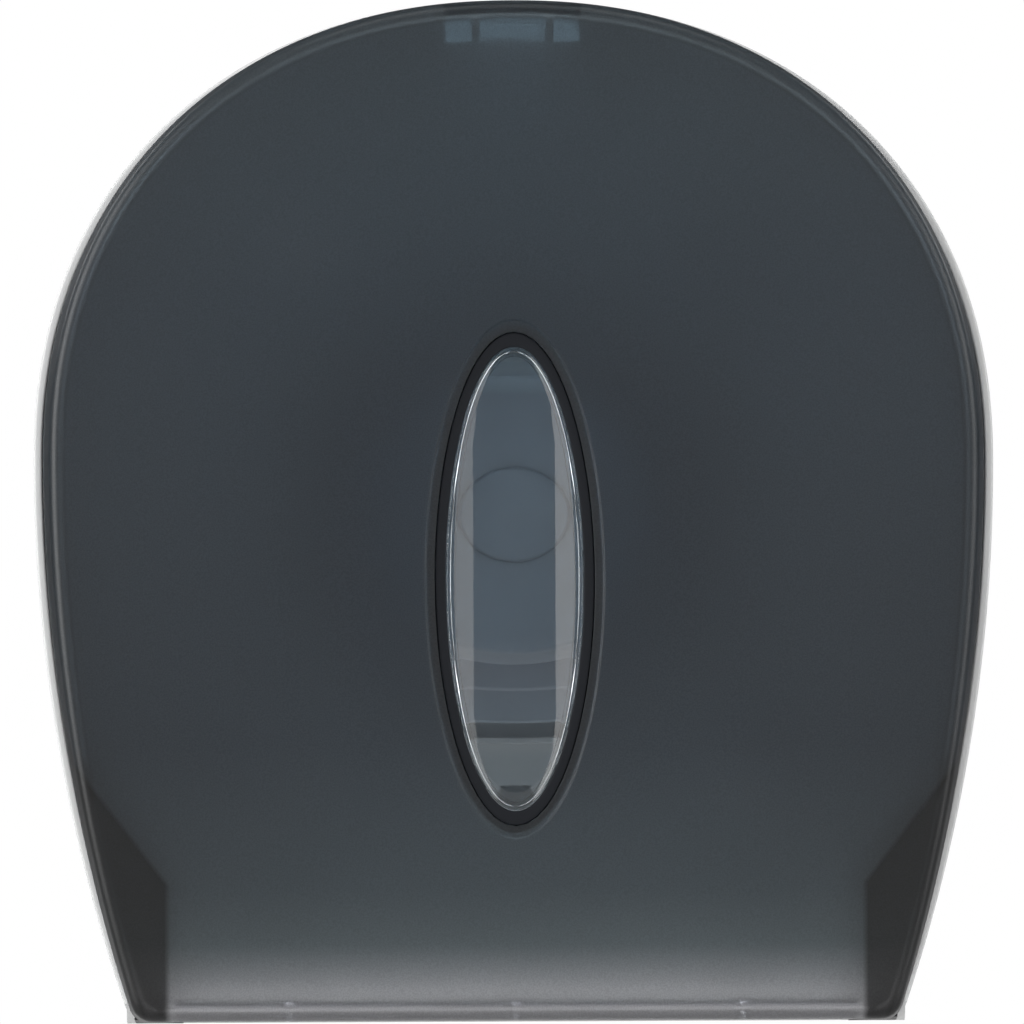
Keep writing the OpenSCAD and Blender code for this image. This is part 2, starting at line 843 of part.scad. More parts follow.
bar_half = exit_half - 3;
flat_end = face_y - edge_r - cover_wall;
bar_seat_z = bottom_z + foot_draft + cover_wall + run_gap;
blade_y = lip_y - side_gap;
blade_tip = cover_foot(blade_y) + 0.3;
bar_teeth = floor(2 * bar_half / tooth_pitch);
bar_screw_x = [-60, 0, 60];
bar_screw_y = lip_y + 2.6;
bar_screw_r = 1;
bar_screw_down = 1.5;

// Strip along the lip with a turned-down toothed blade behind the lip's edge
module tear_bar() {
    start = -bar_teeth * tooth_pitch / 2;
    root = blade_tip + tooth_h;
    color(steel)
        difference() {
            union() {
                block([-bar_half, bar_half], [blade_y - bar_t, flat_end], [bar_seat_z, bar_seat_z + bar_t]);
                wall_prism(concat(
                    [[bar_half, root], [bar_half, bar_seat_z + bar_t / 2],
                        [-bar_half, bar_seat_z + bar_t / 2], [-bar_half, root]],
                    [for (i = [0:bar_teeth - 1])
                        each [[start + (i + 0.02) * tooth_pitch, root], [start + (i + 0.5) * tooth_pitch, blade_tip]]]
                ), blade_y - bar_t, blade_y);
            }
            for (x = bar_screw_x)
                rod_z(bar_screw_r + thread_gap, x, bar_screw_y, bar_seat_z - 1, bar_seat_z + bar_t + 1);
        }
}

module tear_bar_screws() {
    top = bar_seat_z + bar_t;
    color(steel)
        for (x = bar_screw_x) {
            rod_z(bar_screw_r, x, bar_screw_y, bar_seat_z - bar_screw_down, top + eps);
            rod_z(bar_screw_r * 1.9, x, bar_screw_y, top, top + 1);
        }
}

// ---------- latch ----------

post_dip = 0.9;
button_dip = 0.3;
button_foot = cover_top(button_front) - button_h;
pivot_y = body_d - pivot_back;
pivot_z = button_foot + 2.4;
bar_low = pivot_z - 1.6;
tooth_y = window_back + keeper_window / 2;
tooth_z = keeper_z + tooth_clear;
lever_t = 3;
rail_low = pivot_z - 3;
rail_reach = 8;
plate_t = 1.8;
// Where the lever's arm steps up to clear the keeper, behind the pivot
step_start = 13;
step_run = 8;

module latch_bracket() {
    rail_top = seat_z - plate_t + eps;
    color(pale_grey)
        difference() {
            union() {
                both_sides() {
                    side_prism([
                        [button_front, button_foot], [button_front, cover_top(button_front) - post_dip],
                        [button_back, cover_top(button_back) - post_dip], [button_back, button_foot]
                    ], post_x, post_x + post_w);
                    side_prism([
                        [button_back + 1, button_foot], [button_back + 1, rail_top],
                        [pad_y[0], rail_top], [pad_y[0], rail_low + 2],
                        [pad_y[0] + 3, rail_low], [pivot_y + rail_reach, rail_low]
                    ], post_x, post_x + rail_t);
                }
                block([-bracket_half, bracket_half], pad_y, [seat_z - plate_t, seat_z]);
            }
            rod_x(pivot_r, -post_x - rail_t - 1, post_x + rail_t + 1, pivot_y, pivot_z);
            both_sides()
                rod_z(bracket_screw_r + thread_gap, bracket_screw_x, bracket_screw_y, seat_z - 4, seat_z + 1);
        }
}

module bracket_screws() {
    head_z = seat_z - plate_t;
    color(steel)
        both_sides() {
            rod_z(bracket_screw_r, bracket_screw_x, bracket_screw_y, head_z - eps, seat_z + bracket_screw_up);
            rod_z(bracket_head_r, bracket_screw_x, bracket_screw_y, head_z - 1.2, head_z);
        }
}

module latch_pivot_pin() {
    color(steel)
        rod_x(pivot_r, -post_x - rail_t, post_x + rail_t, pivot_y, pivot_z);
}

spring_t = 0.4;
spring_len = 7;
spring_half = 4;

// Folded leaf spring between the bracket's plate and the lever's arm
module latch_spring() {
    fold = pad_y[0] + 0.4;
    top = seat_z - plate_t;
    low = bar_low + lever_t + face_gap;
    color(steel)
        side_prism([
            [fold, top - spring_t], [fold + spring_t, top], [fold + spring_len, top],
            [fold + spring_len, top - spring_t], [fold + 2 * spring_t, top - spring_t],
            [fold + 2 * spring_t, top - 2 * spring_t], [fold + spring_len - 1.5, low + spring_t],
            [fold + spring_len, low + 2 * spring_t], [fold + spring_len, low + spring_t],
            [fold + spring_len - 1.5, low], [fold, top - 3 * spring_t]
        ], -spring_half, spring_half);
}

// One-piece lever: push button in front, bored boss at the pivot, hooked tooth behind
module latch_lever() {
    half = button_half - side_gap;
    arm_low = keeper_z + tooth_drop + 0.7;
    arm_end = window_back + 0.9;
    lever_gap = 0.4;
    front_top = cover_top(button_front) - button_dip;
    back_top = cover_top(button_back) - button_dip;
    color(mid_grey)
        difference() {
            union() {
                side_prism([
                    [button_front, button_foot + 1.2], [button_front, front_top - 1], [button_front - 1, front_top],
                    [button_back + lever_gap, back_top],
                    [button_back + lever_gap, bar_low + lever_t], [pivot_y - step_start - 1, bar_low + lever_t],
                    [pivot_y - step_start - step_run - 1, arm_low + lever_t], [arm_end, arm_low + lever_t],
                    [arm_end, tooth_z + 0.8], [arm_end + 0.8, tooth_z],
                    [arm_end + keeper_window - 3, tooth_z], [arm_end + keeper_window - 2, arm_low],
                    [pivot_y - step_start - step_run, arm_low], [pivot_y - step_start, bar_low],
                    [button_back - 2, bar_low], [button_back + 2, button_foot], [button_front - 1.2, button_foot]
                ], -half, half);
                rod_x(pivot_r + 1.9, -half, half, pivot_y, pivot_z);
            }
            rod_x(pivot_r + run_gap, -half - 1, half + 1, pivot_y, pivot_z);
        }
}

back_plate();
spindle_post();
spindle_screws();
brake_spring();
brake_pad();
roll_hub();
hub_bush_rear();
hub_bush_front();
spindle_washer();
spindle_screw();
hub_cap();
latch_keeper();
keeper_screws();
hinge_pin(-1);  // hinge_pin_left
hinge_pin(1);  // hinge_pin_right
front_cover();
window_bezel();
window_lens();
tear_bar();
tear_bar_screws();
latch_bracket();
bracket_screws();
latch_pivot_pin();
latch_spring();
latch_lever();
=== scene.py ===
"""Looks for the wall dispenser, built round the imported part.

Lengths are in millimetres, unless a name ends in _m.
"""
import math

import bmesh
import bpy
from mathutils import Matrix, Vector


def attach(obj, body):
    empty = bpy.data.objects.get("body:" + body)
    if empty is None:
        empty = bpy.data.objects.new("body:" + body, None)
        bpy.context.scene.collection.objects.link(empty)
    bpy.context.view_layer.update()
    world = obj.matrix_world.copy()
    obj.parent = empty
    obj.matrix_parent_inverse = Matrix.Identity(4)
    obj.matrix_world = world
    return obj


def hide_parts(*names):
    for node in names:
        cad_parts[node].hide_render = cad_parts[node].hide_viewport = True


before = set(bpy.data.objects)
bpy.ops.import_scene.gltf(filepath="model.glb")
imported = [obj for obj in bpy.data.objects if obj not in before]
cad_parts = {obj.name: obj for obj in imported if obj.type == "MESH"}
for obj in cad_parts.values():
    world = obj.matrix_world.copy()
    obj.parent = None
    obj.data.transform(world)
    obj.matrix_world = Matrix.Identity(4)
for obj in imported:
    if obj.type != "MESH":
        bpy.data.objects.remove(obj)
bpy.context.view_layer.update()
MM = 0.001

# ---------- sizes, most of them the same as in the part's source ----------
BODY_H, BODY_W, BODY_D = 286.8, 269.5, 136.9
AXIS_DROP, WIDE_RISE, CROWN_E = 1.2, 14.2, 2.18
TOP_Z, BOTTOM_Z, WIDE_Z = BODY_H / 2 + AXIS_DROP, AXIS_DROP - BODY_H / 2, AXIS_DROP + WIDE_RISE
UNDER_Z = BOTTOM_Z - 5
OVERCUT = 1.0  # how far a tool that cuts stands out of what it cuts
SINK = 0.5  # how far ribs and bosses reach into the plate's floor

# back plate
PLATE_D, FLOOR_T, PLATE_WALL, PLATE_FLANK = 27.0, 2.5, 2.45, 480.0
FOOT_HALF = BODY_W / 2 - PLATE_FLANK + math.sqrt(PLATE_FLANK ** 2 - (WIDE_Z - BOTTOM_Z) ** 2)
BACK_ROUND, RIM_ROUND, FLOOR_FILLET = 0.8, 0.7, 1.5
SCREW_DX, SCREW_DZ, SCREW_HOLE_R, SCREW_BOSS_R = 120.0, 150.0, 2.8, 9.0
RIB_TOP, RIB_HALF, RIB_ROUND, RING_R = FLOOR_T + 6, 0.9, 0.3, 62.0
RIB_PAST_X, RIB_PAST_Z = 40, 30  # how far the straight ribs run past the wall screws
SPINDLE_BOSS_R, SPINDLE_SEAT = 27.0, FLOOR_T + 3
POST_SCREW_AT, POST_SCREW_R = 19.0, 1.65
KEEPER_SCREW_X, KEEPER_SCREW_R = 6.5, 1.55
KEEPER_SCREW_Z = TOP_Z - 19.4 - 1.25 - 5

# cover
COVER_WALL, COVER_FLANK, RIM_SHOW, SIDE_DRAFT, FOOT_DRAFT = 2.5, 510.0, 2.65, 9.2, 9.0
EDGE_R, FACE_CROWN, CORNER_R, SKIRT_D, SHELL_GAP = 3.0, 3.5, 6.0, 4.0, 0.4
PART_Y, INNER_FACE = PLATE_D + SHELL_GAP, BODY_D - COVER_WALL
EDGE_Y = BODY_D - FACE_CROWN - EDGE_R
LOW_Z = BOTTOM_Z + FOOT_DRAFT
FRONT_HALF, FRONT_FLANK = BODY_W / 2 - RIM_SHOW - SIDE_DRAFT, COVER_FLANK - SIDE_DRAFT
EXIT_HALF, LIP_Y = FOOT_HALF - 15.1, BODY_D - 14
GUSSET_T, GUSSET_D, GUSSET_RUN, GUSSET_RISE = 2.0, 57.0, 26.0, 34.0
GUSSET_BEND_Z = BOTTOM_Z + 46.4

# hinge
PIN_R, RUN_GAP, SIDE_GAP, KNUCKLE_R = 1.6, 0.05, 0.3, 3.8
EAR_X, EAR_W, CHEEK_T = FOOT_HALF - 7.2, 5.4, 2.4
EAR_END = EAR_X + EAR_W
HINGE_Y, HINGE_Z = PLATE_D, BOTTOM_Z + KNUCKLE_R

# window
WINDOW_Z, RECESS_A, RECESS_B, RECESS_D = -16.7, 23.5, 68.2, 0.9
OPEN_A, OPEN_B = RECESS_A - 2.4, RECESS_B - 3.2
LENS_A, LENS_B = OPEN_A - 2.9, OPEN_B - 3.9
WINDOW_GAP, LENS_T, LENS_CROWN = 0.15, 1.6, 1.4
BEZEL_FRONT, BEZEL_BACK = BODY_D - RECESS_D - 0.5, INNER_FACE - 1.5
LENS_FRONT, SKIRT_BACK = BEZEL_FRONT - 0.3, BEZEL_BACK - 1.6

# latch
POST_X, POST_W, BUTTON_D = 10.8, 6.8, 15.0
SEAT_Z = TOP_Z - 10.4
NOTCH_HALF, NOTCH_FRONT = POST_X + POST_W + SIDE_GAP, EDGE_Y - 1
NOTCH_BACK = NOTCH_FRONT - SIDE_GAP - BUTTON_D - SIDE_GAP
BRACKET_HALF, BRACKET_Y = 19.26, BODY_D - 45
BRACKET_SCREW_X, BRACKET_SCREW_R, BRACKET_SCREW_DEPTH = 16.38, 1.25, 3.2

# hub
HUB_FRONT, HUB_BACK, HUB_R, NOSE_R, HUB_WALL = 97.0, 20.0, 40.0, 36.5, 2.0
HUB_FLANGE_R, HUB_FLANGE_T, HUB_STEP_R, HUB_STEP_T = 57.0, 2.5, 48.0, 3.0
HUB_LEAD, WEB_T, SPOKES, SPOKE_HALF = 9.0, 2.5, 8, 0.8
SPINDLE_R, SPINDLE_END, BUSH_WALL, BUSH_FLANGE = 7.0, 94.7, 1.75, 1.5
BUSH_R = SPINDLE_R + RUN_GAP + BUSH_WALL
TUBE_R, TUBE_BACK, WELL_R = BUSH_R + 3.7, 16.3, BUSH_R + 2.4
CAP_R, CAP_T, CAP_CROWN = 12.6, 1.6, 1.2

# ---------- outlines ----------
CROWN_STEPS, FLANK_STEPS, CORNER_STEPS, FOOT_STEPS = 120, 36, 8, 36


def signed_pow(v, e):
    return math.copysign(abs(v) ** e, v)


def flank_x(w, r, z):
    """Half width at height z of a side arc of radius r that is w wide at its widest."""
    return w - r + math.sqrt(r * r - (WIDE_Z - z) ** 2)


def corner_arc(x, z, start, turn):
    """A bottom corner round (x, z), without its first point."""
    angles = [start + turn * i / CORNER_STEPS for i in range(1, CORNER_STEPS + 1)]
    return [(x + CORNER_R * math.cos(a), z + CORNER_R * math.sin(a)) for a in angles]


def outline(w, up, down, r):
    """Superellipse over the top, long arcs down the sides, flat foot with round corners, as (x, z) points."""
    points = []
    for i in range(CROWN_STEPS + 1):
        a = math.pi * i / CROWN_STEPS
        rise = (up - WIDE_Z) * abs(math.sin(a)) ** (2 / CROWN_E)
        points.append((w * signed_pow(math.cos(a), 2 / CROWN_E), WIDE_Z + rise))
    lean = math.asin((WIDE_Z - down) / r)
    side_end = down + CORNER_R * (1 - math.sin(lean))
    side_x = flank_x(w, r, side_end)
    levels = [side_end + (WIDE_Z - side_end) * i / FLANK_STEPS for i in range(1, FLANK_STEPS)]
    right = [(flank_x(w, r, z), z) for z in levels]
    points += [(-x, z) for x, z in reversed(right)] + [(-side_x, side_end)]
    corner_x, corner_z = side_x - CORNER_R * math.cos(lean), down + CORNER_R
    turn = math.pi / 2 - lean
    points += corner_arc(-corner_x, corner_z, math.pi + lean, turn)
    points += [(corner_x * (2 * i / FOOT_STEPS - 1), down) for i in range(1, FOOT_STEPS + 1)]
    points += corner_arc(corner_x, corner_z, 1.5 * math.pi, turn)
    return points + right


def plate_outline(inset):
    return outline(BODY_W / 2 - inset, TOP_Z - inset, BOTTOM_Z + inset, PLATE_FLANK - inset)


def skirt_outline(inset):
    return plate_outline(PLATE_WALL + SHELL_GAP + inset)


def cover_outline(s, inset):
    """The cover's outline, s of the way from the skirt (0) to the face's edge (1)."""
    draw = s * SIDE_DRAFT + inset
    foot = BOTTOM_Z + s * FOOT_DRAFT + inset
    return outline(BODY_W / 2 - RIM_SHOW - draw, TOP_Z - draw, foot, COVER_FLANK - draw)


def toward(points, a, b):
    """The window's ellipse, one point at the bearing of each point of an outline."""
    ring = []
    for x, z in points:
        k = math.hypot(x / a, (z - WINDOW_Z) / b)
        ring.append((x / k, WINDOW_Z + (z - WINDOW_Z) / k))
    return ring


def blend(a, b, s):
    return [(p[0] + (q[0] - p[0]) * s, p[1] + (q[1] - p[1]) * s) for p, q in zip(a, b)]


def ellipse(a, b, n):
    return [(a * math.cos(math.tau * i / n), WINDOW_Z + b * math.sin(math.tau * i / n)) for i in range(n)]


def circle(r, n, centre):
    turns = [math.tau * i / n for i in range(n)]
    return [(centre[0] + r * math.cos(a), centre[1] + r * math.sin(a)) for a in turns]


def quarter(steps, first=0):
    """(sine, cosine) pairs over a quarter turn."""
    turns = [math.pi / 2 * k / steps for k in range(first, steps + 1)]
    return [(math.sin(a), math.cos(a)) for a in turns]


def rounded(points, steps=4):
    """A closed outline of (u, v, radius) with its corners rounded, as (u, v) points."""
    out = []
    n = len(points)
    for i, (u, v, r) in enumerate(points):
        p = Vector((u, v))
        before, after = Vector(points[i - 1][:2]) - p, Vector(points[(i + 1) % n][:2]) - p
        half = before.angle(after) / 2 if before.length and after.length else math.pi / 2
        if r <= 0 or abs(half - math.pi / 2) < 1e-3:
            out.append((u, v))
            continue
        cut = min(r / math.tan(half), before.length * 0.49, after.length * 0.49)
        r = cut * math.tan(half)
        centre = p + (before.normalized() + after.normalized()).normalized() * (r / math.sin(half))
        start = p + before.normalized() * cut - centre
        end = p + after.normalized() * cut - centre
        sweep = start.angle_signed(end)
        for k in range(steps + 1):
            a = -sweep * k / steps
            out.append((centre.x + start.x * math.cos(a) - start.y * math.sin(a),
                        centre.y + start.x * math.sin(a) + start.y * math.cos(a)))
    return out


# ---------- mesh helpers ----------


def shade(obj, angle):
    """Smooth faces, and sharp edges past the angle in degrees."""
    mesh = obj.data
    mesh.polygons.foreach_set("use_smooth", [True] * len(mesh.polygons))
    mesh.set_sharp_from_angle(angle=math.radians(angle))
    mesh.update()


def to_object(name, verts, faces, smooth=35.0):
    """A mesh object from (x, distance from the wall, z) points."""
    mesh = bpy.data.meshes.new(name)
    mesh.from_pydata([(x * MM, -d * MM, z * MM) for x, d, z in verts], [], faces)
    mesh.validate()
    work = bmesh.new()
    work.from_mesh(mesh)
    bmesh.ops.remove_doubles(work, verts=work.verts, dist=1e-7)
    bmesh.ops.recalc_face_normals(work, faces=work.faces)
    work.to_mesh(mesh)
    work.free()
    obj = bpy.data.objects.new(name, mesh)
    bpy.context.scene.collection.objects.link(obj)
    shade(obj, smooth)
    return obj


def loft(name, rings, closed=False, smooth=35.0):
    """Skin over rings of ((x, z) points, distance from the wall).

    Open lofts are capped by fans, and closed ones join their end to their start.
    """
    n = len(rings[0][0])
    verts = [(x, d, z) for ring, d in rings for x, z in ring]
    faces = []
    count = len(rings)
    for k in range(count if closed else count - 1):
        a, b = k * n, (k + 1) % count * n
        faces += [(a + i, a + (i + 1) % n, b + (i + 1) % n, b + i) for i in range(n)]
    if not closed:
        for start, (ring, d) in ((0, rings[0]), ((count - 1) * n, rings[-1])):
            middle = len(verts)
            verts.append((sum(p[0] for p in ring) / n, d, sum(p[1] for p in ring) / n))
            faces += [(start + i, start + (i + 1) % n, middle) for i in range(n)]
    return to_object(name, verts, faces, smooth)


def lathe(name, profile, n=160, axis=(0, 0), smooth=30.0):
    """Closed ring turned round a line along Y, from (radius, distance from the wall) points."""
    return loft(name, [(circle(r, n, axis), d) for r, d in profile], closed=True, smooth=smooth)


def tube_faces(n):
    """Faces of a bar with n sides, over the points of one end and then those of the other."""
    sides = [(i, (i + 1) % n, n + (i + 1) % n, n + i) for i in range(n)]
    return [tuple(range(n)), tuple(range(n, 2 * n))] + sides


def wall_prism(name, points, d0, d1):
    """(x, z) points drawn out from distance d0 to d1 from the wall."""
    verts = [(x, d, z) for d in (d0, d1) for x, z in points]
    return to_object(name, verts, tube_faces(len(points)))


def side_prism(name, points, x0, x1):
    """(distance from the wall, z) points drawn out from x0 to x1."""
    verts = [(x, d, z) for x in (x0, x1) for d, z in points]
    return to_object(name, verts, tube_faces(len(points)))


def block(name, x, d, z):
    return side_prism(name, [(d[0], z[0]), (d[1], z[0]), (d[1], z[1]), (d[0], z[1])], x[0], x[1])


def rod(name, axis, r, start, end, at, n=48):
    """Round bar along x, d (distance from the wall) or z. at has its other two coordinates, in that order."""
    verts = []
    for along in (start, end):
        for pair in circle(r, n, at):
            point = list(pair)
            point.insert("xdz".index(axis), along)
            verts.append(point)
    return to_object(name, verts, tube_faces(n))


def mirrored(obj):
    """obj joined with its mirror image in x."""
    work = bmesh.new()
    work.from_mesh(obj.data)
    copies = bmesh.ops.duplicate(work, geom=work.verts[:] + work.edges[:] + work.faces[:])["geom"]
    verts = [copy for copy in copies if isinstance(copy, bmesh.types.BMVert)]
    bmesh.ops.transform(work, matrix=Matrix.Diagonal((-1, 1, 1, 1)), verts=verts)
    bmesh.ops.recalc_face_normals(work, faces=work.faces)
    work.to_mesh(obj.data)
    work.free()
    return obj


def apply_modifiers(obj):
    mesh = bpy.data.meshes.new_from_object(obj.evaluated_get(bpy.context.evaluated_depsgraph_get()))
    obj.modifiers.clear()
    obj.data = mesh


def combine(target, tools, operation, smooth=35.0):
    """Boolean of target with each tool, applied. The tools are used up."""
    for tool in tools:
        mod = target.modifiers.new("cut", "BOOLEAN")
        mod.operation, mod.solver, mod.object = operation, "EXACT", tool
        apply_modifiers(target)
        bpy.data.objects.remove(tool)
    shade(target, smooth)
    return target


def add_bevel(obj, width):
    mod = obj.modifiers.new("round", "BEVEL")
    mod.width, mod.segments, mod.limit_method = width * MM, 2, "ANGLE"
    mod.angle_limit = math.radians(35)


def beveled(obj, width):
    add_bevel(obj, width)
    apply_modifiers(obj)
    shade(obj, 40)
    return obj


# ---------- materials ----------


class Nodes:
    """Short ways to add linked nodes to a node tree."""

    def __init__(self, tree):
        self.tree = tree

    def add(self, kind, links=None, **settings):
        """A new node. settings are values of its inputs or fields, and links are sources of its inputs."""
        made = self.tree.nodes.new(kind)
        for key, value in settings.items():
            label = key.replace("_", " ")
            if label in made.inputs:
                made.inputs[label].default_value = value
            else:
                setattr(made, key, value)
        for key, source in (links or {}).items():
            self.tree.links.new(source, made.inputs[key])
        return made

    def calc(self, operation, a, b=0.0):
        """A Math node of a link and of a link or number."""
        made = self.add("ShaderNodeMath", {0: a}, operation=operation)
        if isinstance(b, float):
            made.inputs[1].default_value = b
        else:
            self.tree.links.new(b, made.inputs[1])
        return made.outputs[0]

    def remap(self, source, low, high, from_low=0.3, from_high=0.7):
        """low to high, as source goes from from_low to from_high."""
        ends = {"From_Min": from_low, "From_Max": from_high, "To_Min": low, "To_Max": high}
        return self.add("ShaderNodeMapRange", {"Value": source}, **ends).outputs[0]

    def ramp(self, source, *stops):
        """The colour of a value, from (value, colour) stops."""
        made = self.add("ShaderNodeValToRGB", {"Fac": source})
        line = made.color_ramp
        while len(line.elements) < len(stops):
            line.elements.new(0.5)
        for element, (at, colour) in zip(line.elements, stops):
            element.position, element.color = at, (*colour, 1)
        return made.outputs["Color"]

    def scaled(self, colour, level):
        links = {"Vector": colour, "Scale": level}
        return self.add("ShaderNodeVectorMath", links, operation="SCALE").outputs[0]

    def seen_rays(self, *kinds):
        """1 for rays of these kinds from Light Path, and 0 for the rest."""
        path = self.add("ShaderNodeLightPath")
        found = path.outputs[kinds[0]]
        for kind in kinds[1:]:
            found = self.calc("MAXIMUM", found, path.outputs[kind])
        return found


class Shader(Nodes):
    """A material with a Principled shader."""

    def __init__(self, name, **sockets):
        self.material = bpy.data.materials.new(name)
        self.material.use_nodes = True
        super().__init__(self.material.node_tree)
        self.bsdf = self.tree.nodes["Principled BSDF"]
        for key, value in sockets.items():
            self.bsdf.inputs[key.replace("_", " ")].default_value = value
        self.place = self.add("ShaderNodeTexCoord").outputs["Object"]

    def link(self, source, socket):
        self.tree.links.new(source, self.bsdf.inputs[socket])

    def axes(self):
        """x, y and z of a point in metres."""
        return self.add("ShaderNodeSeparateXYZ", {"Vector": self.place}).outputs

    def noise(self, per_mm, detail, stretch=(1, 1, 1), rough=0.5):
        """Noise with about per_mm features in a millimetre, as a value round 0.5."""
        place = self.add("ShaderNodeMapping", {"Vector": self.place}, Scale=stretch).outputs[0]
        settings = {"Scale": per_mm / MM, "Detail": detail, "Roughness": rough}
        return self.add("ShaderNodeTexNoise", {"Vector": place}, **settings).outputs["Fac"]

    def by_height(self, z, low, high, stops):
        """The colour at height z, from (height, colour) stops between low and high."""
        places = [((at - low) / (high - low), colour) for at, colour in stops]
        return self.ramp(self.remap(z, 0, 1, low * MM, high * MM), *places)

    def mottle(self, colour, spread, source):
        """Base colour that strays by the share spread to both sides of colour."""
        low, high = (tuple(c * k for c in colour) for k in (1 - spread, 1 + spread))
        self.link(self.ramp(source, (0.3, low), (0.7, high)), "Base Color")

    def bump(self, source, depth):
        made = self.add("ShaderNodeBump", {"Height": source}, Strength=1.0, Distance=depth * MM)
        self.link(made.outputs["Normal"], "Normal")


def moulded(name, colour, roughness, spread=0.04, grain=2.2, depth=0.012, **sockets):
    """Moulded plastic: faint uneven colour, fine grain and roughness that varies with it."""
    s = Shader(name, **sockets)
    broad, fine = s.noise(0.02, 3), s.noise(grain, 3)
    s.mottle(colour, spread, broad)
    s.link(s.remap(fine, roughness - 0.06, roughness + 0.06), "Roughness")
    s.bump(fine, depth)
    return s.material


def metal(name, colour, roughness, stretch):
    """Metal with a fine grain, drawn out to brush marks where stretch differs between the axes."""
    s = Shader(name, Metallic=1.0)
    brushed, broad = s.noise(1.5, 3, stretch), s.noise(0.08, 2)
    s.mottle(colour, 0.08, broad)
    s.link(s.remap(brushed, roughness - 0.08, roughness + 0.1), "Roughness")
    s.bump(brushed, 0.006)
    return s.material


# height and colour: painted light from below on the lip with a darker edge under it, a dark face, and painted
# light from above at the top
SMOKE_LIGHT_STOPS = (
    (-131.5, (0.31, 0.31, 0.32)), (-129.8, (0.58, 0.58, 0.60)), (-125, (0.67, 0.675, 0.70)),
    (-113, (0.25, 0.30, 0.32)), (-98, (0.165, 0.205, 0.23)), (-60, (0.112, 0.143, 0.172)),
    (60, (0.152, 0.194, 0.232)), (135, (0.22, 0.28, 0.32)))
SMOKE_SPECK = 0.14
# painted shade on the side walls and the edge round: the share of the colour that is left there, and where it
# starts and ends
SMOKE_EDGE_SHADE, SMOKE_EDGE_START, SMOKE_EDGE_END = 0.35, 5.0, 3.4
# painted shade behind the gussets: the share of the colour that is left there, and where it starts and ends
# in metres past a gusset's inner face
SMOKE_GUSSET_SHADE, GUSSET_SHADE_START_M, GUSSET_SHADE_END_M = 0.2, -0.0020, -0.0004


def edge_reach(s, x, z):
    """1 on the outline of the face's edge and less inside it, by its superellipse and its side arcs."""
    above = s.calc("SUBTRACT", z, WIDE_Z * MM)
    below = s.calc("MINIMUM", above, 0.0)
    drop = s.calc("MULTIPLY", below, s.calc("MULTIPLY", below, -1.0))
    arc = s.calc("SQRT", s.calc("ADD", drop, (FRONT_FLANK * MM) ** 2))
    half = s.calc("ADD", arc, (FRONT_HALF - FRONT_FLANK) * MM)
    across = s.calc("POWER", s.calc("DIVIDE", s.calc("ABSOLUTE", x), half), CROWN_E)
    crown = s.calc("DIVIDE", s.calc("MAXIMUM", above, 0.0), (TOP_Z - SIDE_DRAFT - WIDE_Z) * MM)
    upward = s.calc("POWER", crown, CROWN_E)
    return s.calc("POWER", s.calc("ADD", across, upward), 1 / CROWN_E)


def past_gusset(s, x, z):
    """Metres from a gusset's inner face out to a point, and less than 0 between the gussets."""
    beside = s.calc("SUBTRACT", s.calc("ABSOLUTE", x), EXIT_HALF * MM)
    above_bend = s.calc("MAXIMUM", s.calc("SUBTRACT", z, (GUSSET_BEND_Z - 1) * MM), 0.0)
    return s.calc("SUBTRACT", beside, s.calc("MULTIPLY", above_bend, GUSSET_RUN / GUSSET_RISE))


def smoke():
    """Smoke plastic with a fine grain, a tint by height with painted light at the lip and the top, and
    painted shade on the side walls and behind the gussets.
    """
    s = Shader("smoke_plastic", IOR=1.35, Transmission_Weight=0.97)
    speck, fine = s.noise(2.6, 1, rough=0.4), s.noise(1.3, 3)
    x, _, z = s.axes()
    # tint by height, which holds the painted light at the lip and at the top
    tint = s.by_height(z, LOW_Z, TOP_Z, SMOKE_LIGHT_STOPS)
    # painted shade on the side walls and the edge round, out to the face's outline
    start, end = 1 - SMOKE_EDGE_START / FRONT_HALF, 1 - SMOKE_EDGE_END / FRONT_HALF
    walls = s.remap(edge_reach(s, x, z), 1.0, SMOKE_EDGE_SHADE, start, end)
    # painted shade outside the gussets
    gusset_shade = s.remap(past_gusset(s, x, z), 1.0, SMOKE_GUSSET_SHADE, GUSSET_SHADE_START_M, GUSSET_SHADE_END_M)
    uneven = s.remap(speck, 1 - SMOKE_SPECK, 1 + SMOKE_SPECK, 0.35, 0.65)
    level = s.calc("MULTIPLY", s.calc("MULTIPLY", gusset_shade, walls), uneven)
    s.link(s.scaled(tint, level), "Base Color")
    s.link(s.remap(fine, 0.38, 0.45), "Roughness")
    s.bump(fine, 0.010)
    return s.material


# height and colour: painted light low down and above the hub, on the parts seen through the lens
LENS_LOW, LENS_HIGH = -80.0, 50.0
LENS_LIGHT_STOPS = (
    (-64.4, (0.53, 0.59, 0.63)), (-52.7, (0.69, 0.75, 0.79)), (-39.7, (0.68, 0.72, 0.76)),
    (-31.9, (0.57, 0.63, 0.67)), (31.8, (0.57, 0.63, 0.67)), (38.3, (0.80, 0.92, 0.97)))
# painted shade at the lens's rim: the share of the colour that is left there, and where it starts, as squared
# shares of the ellipse
LENS_RIM_SHADE, LENS_RIM_START, LENS_RIM_END = 0.72, 0.90, 0.95


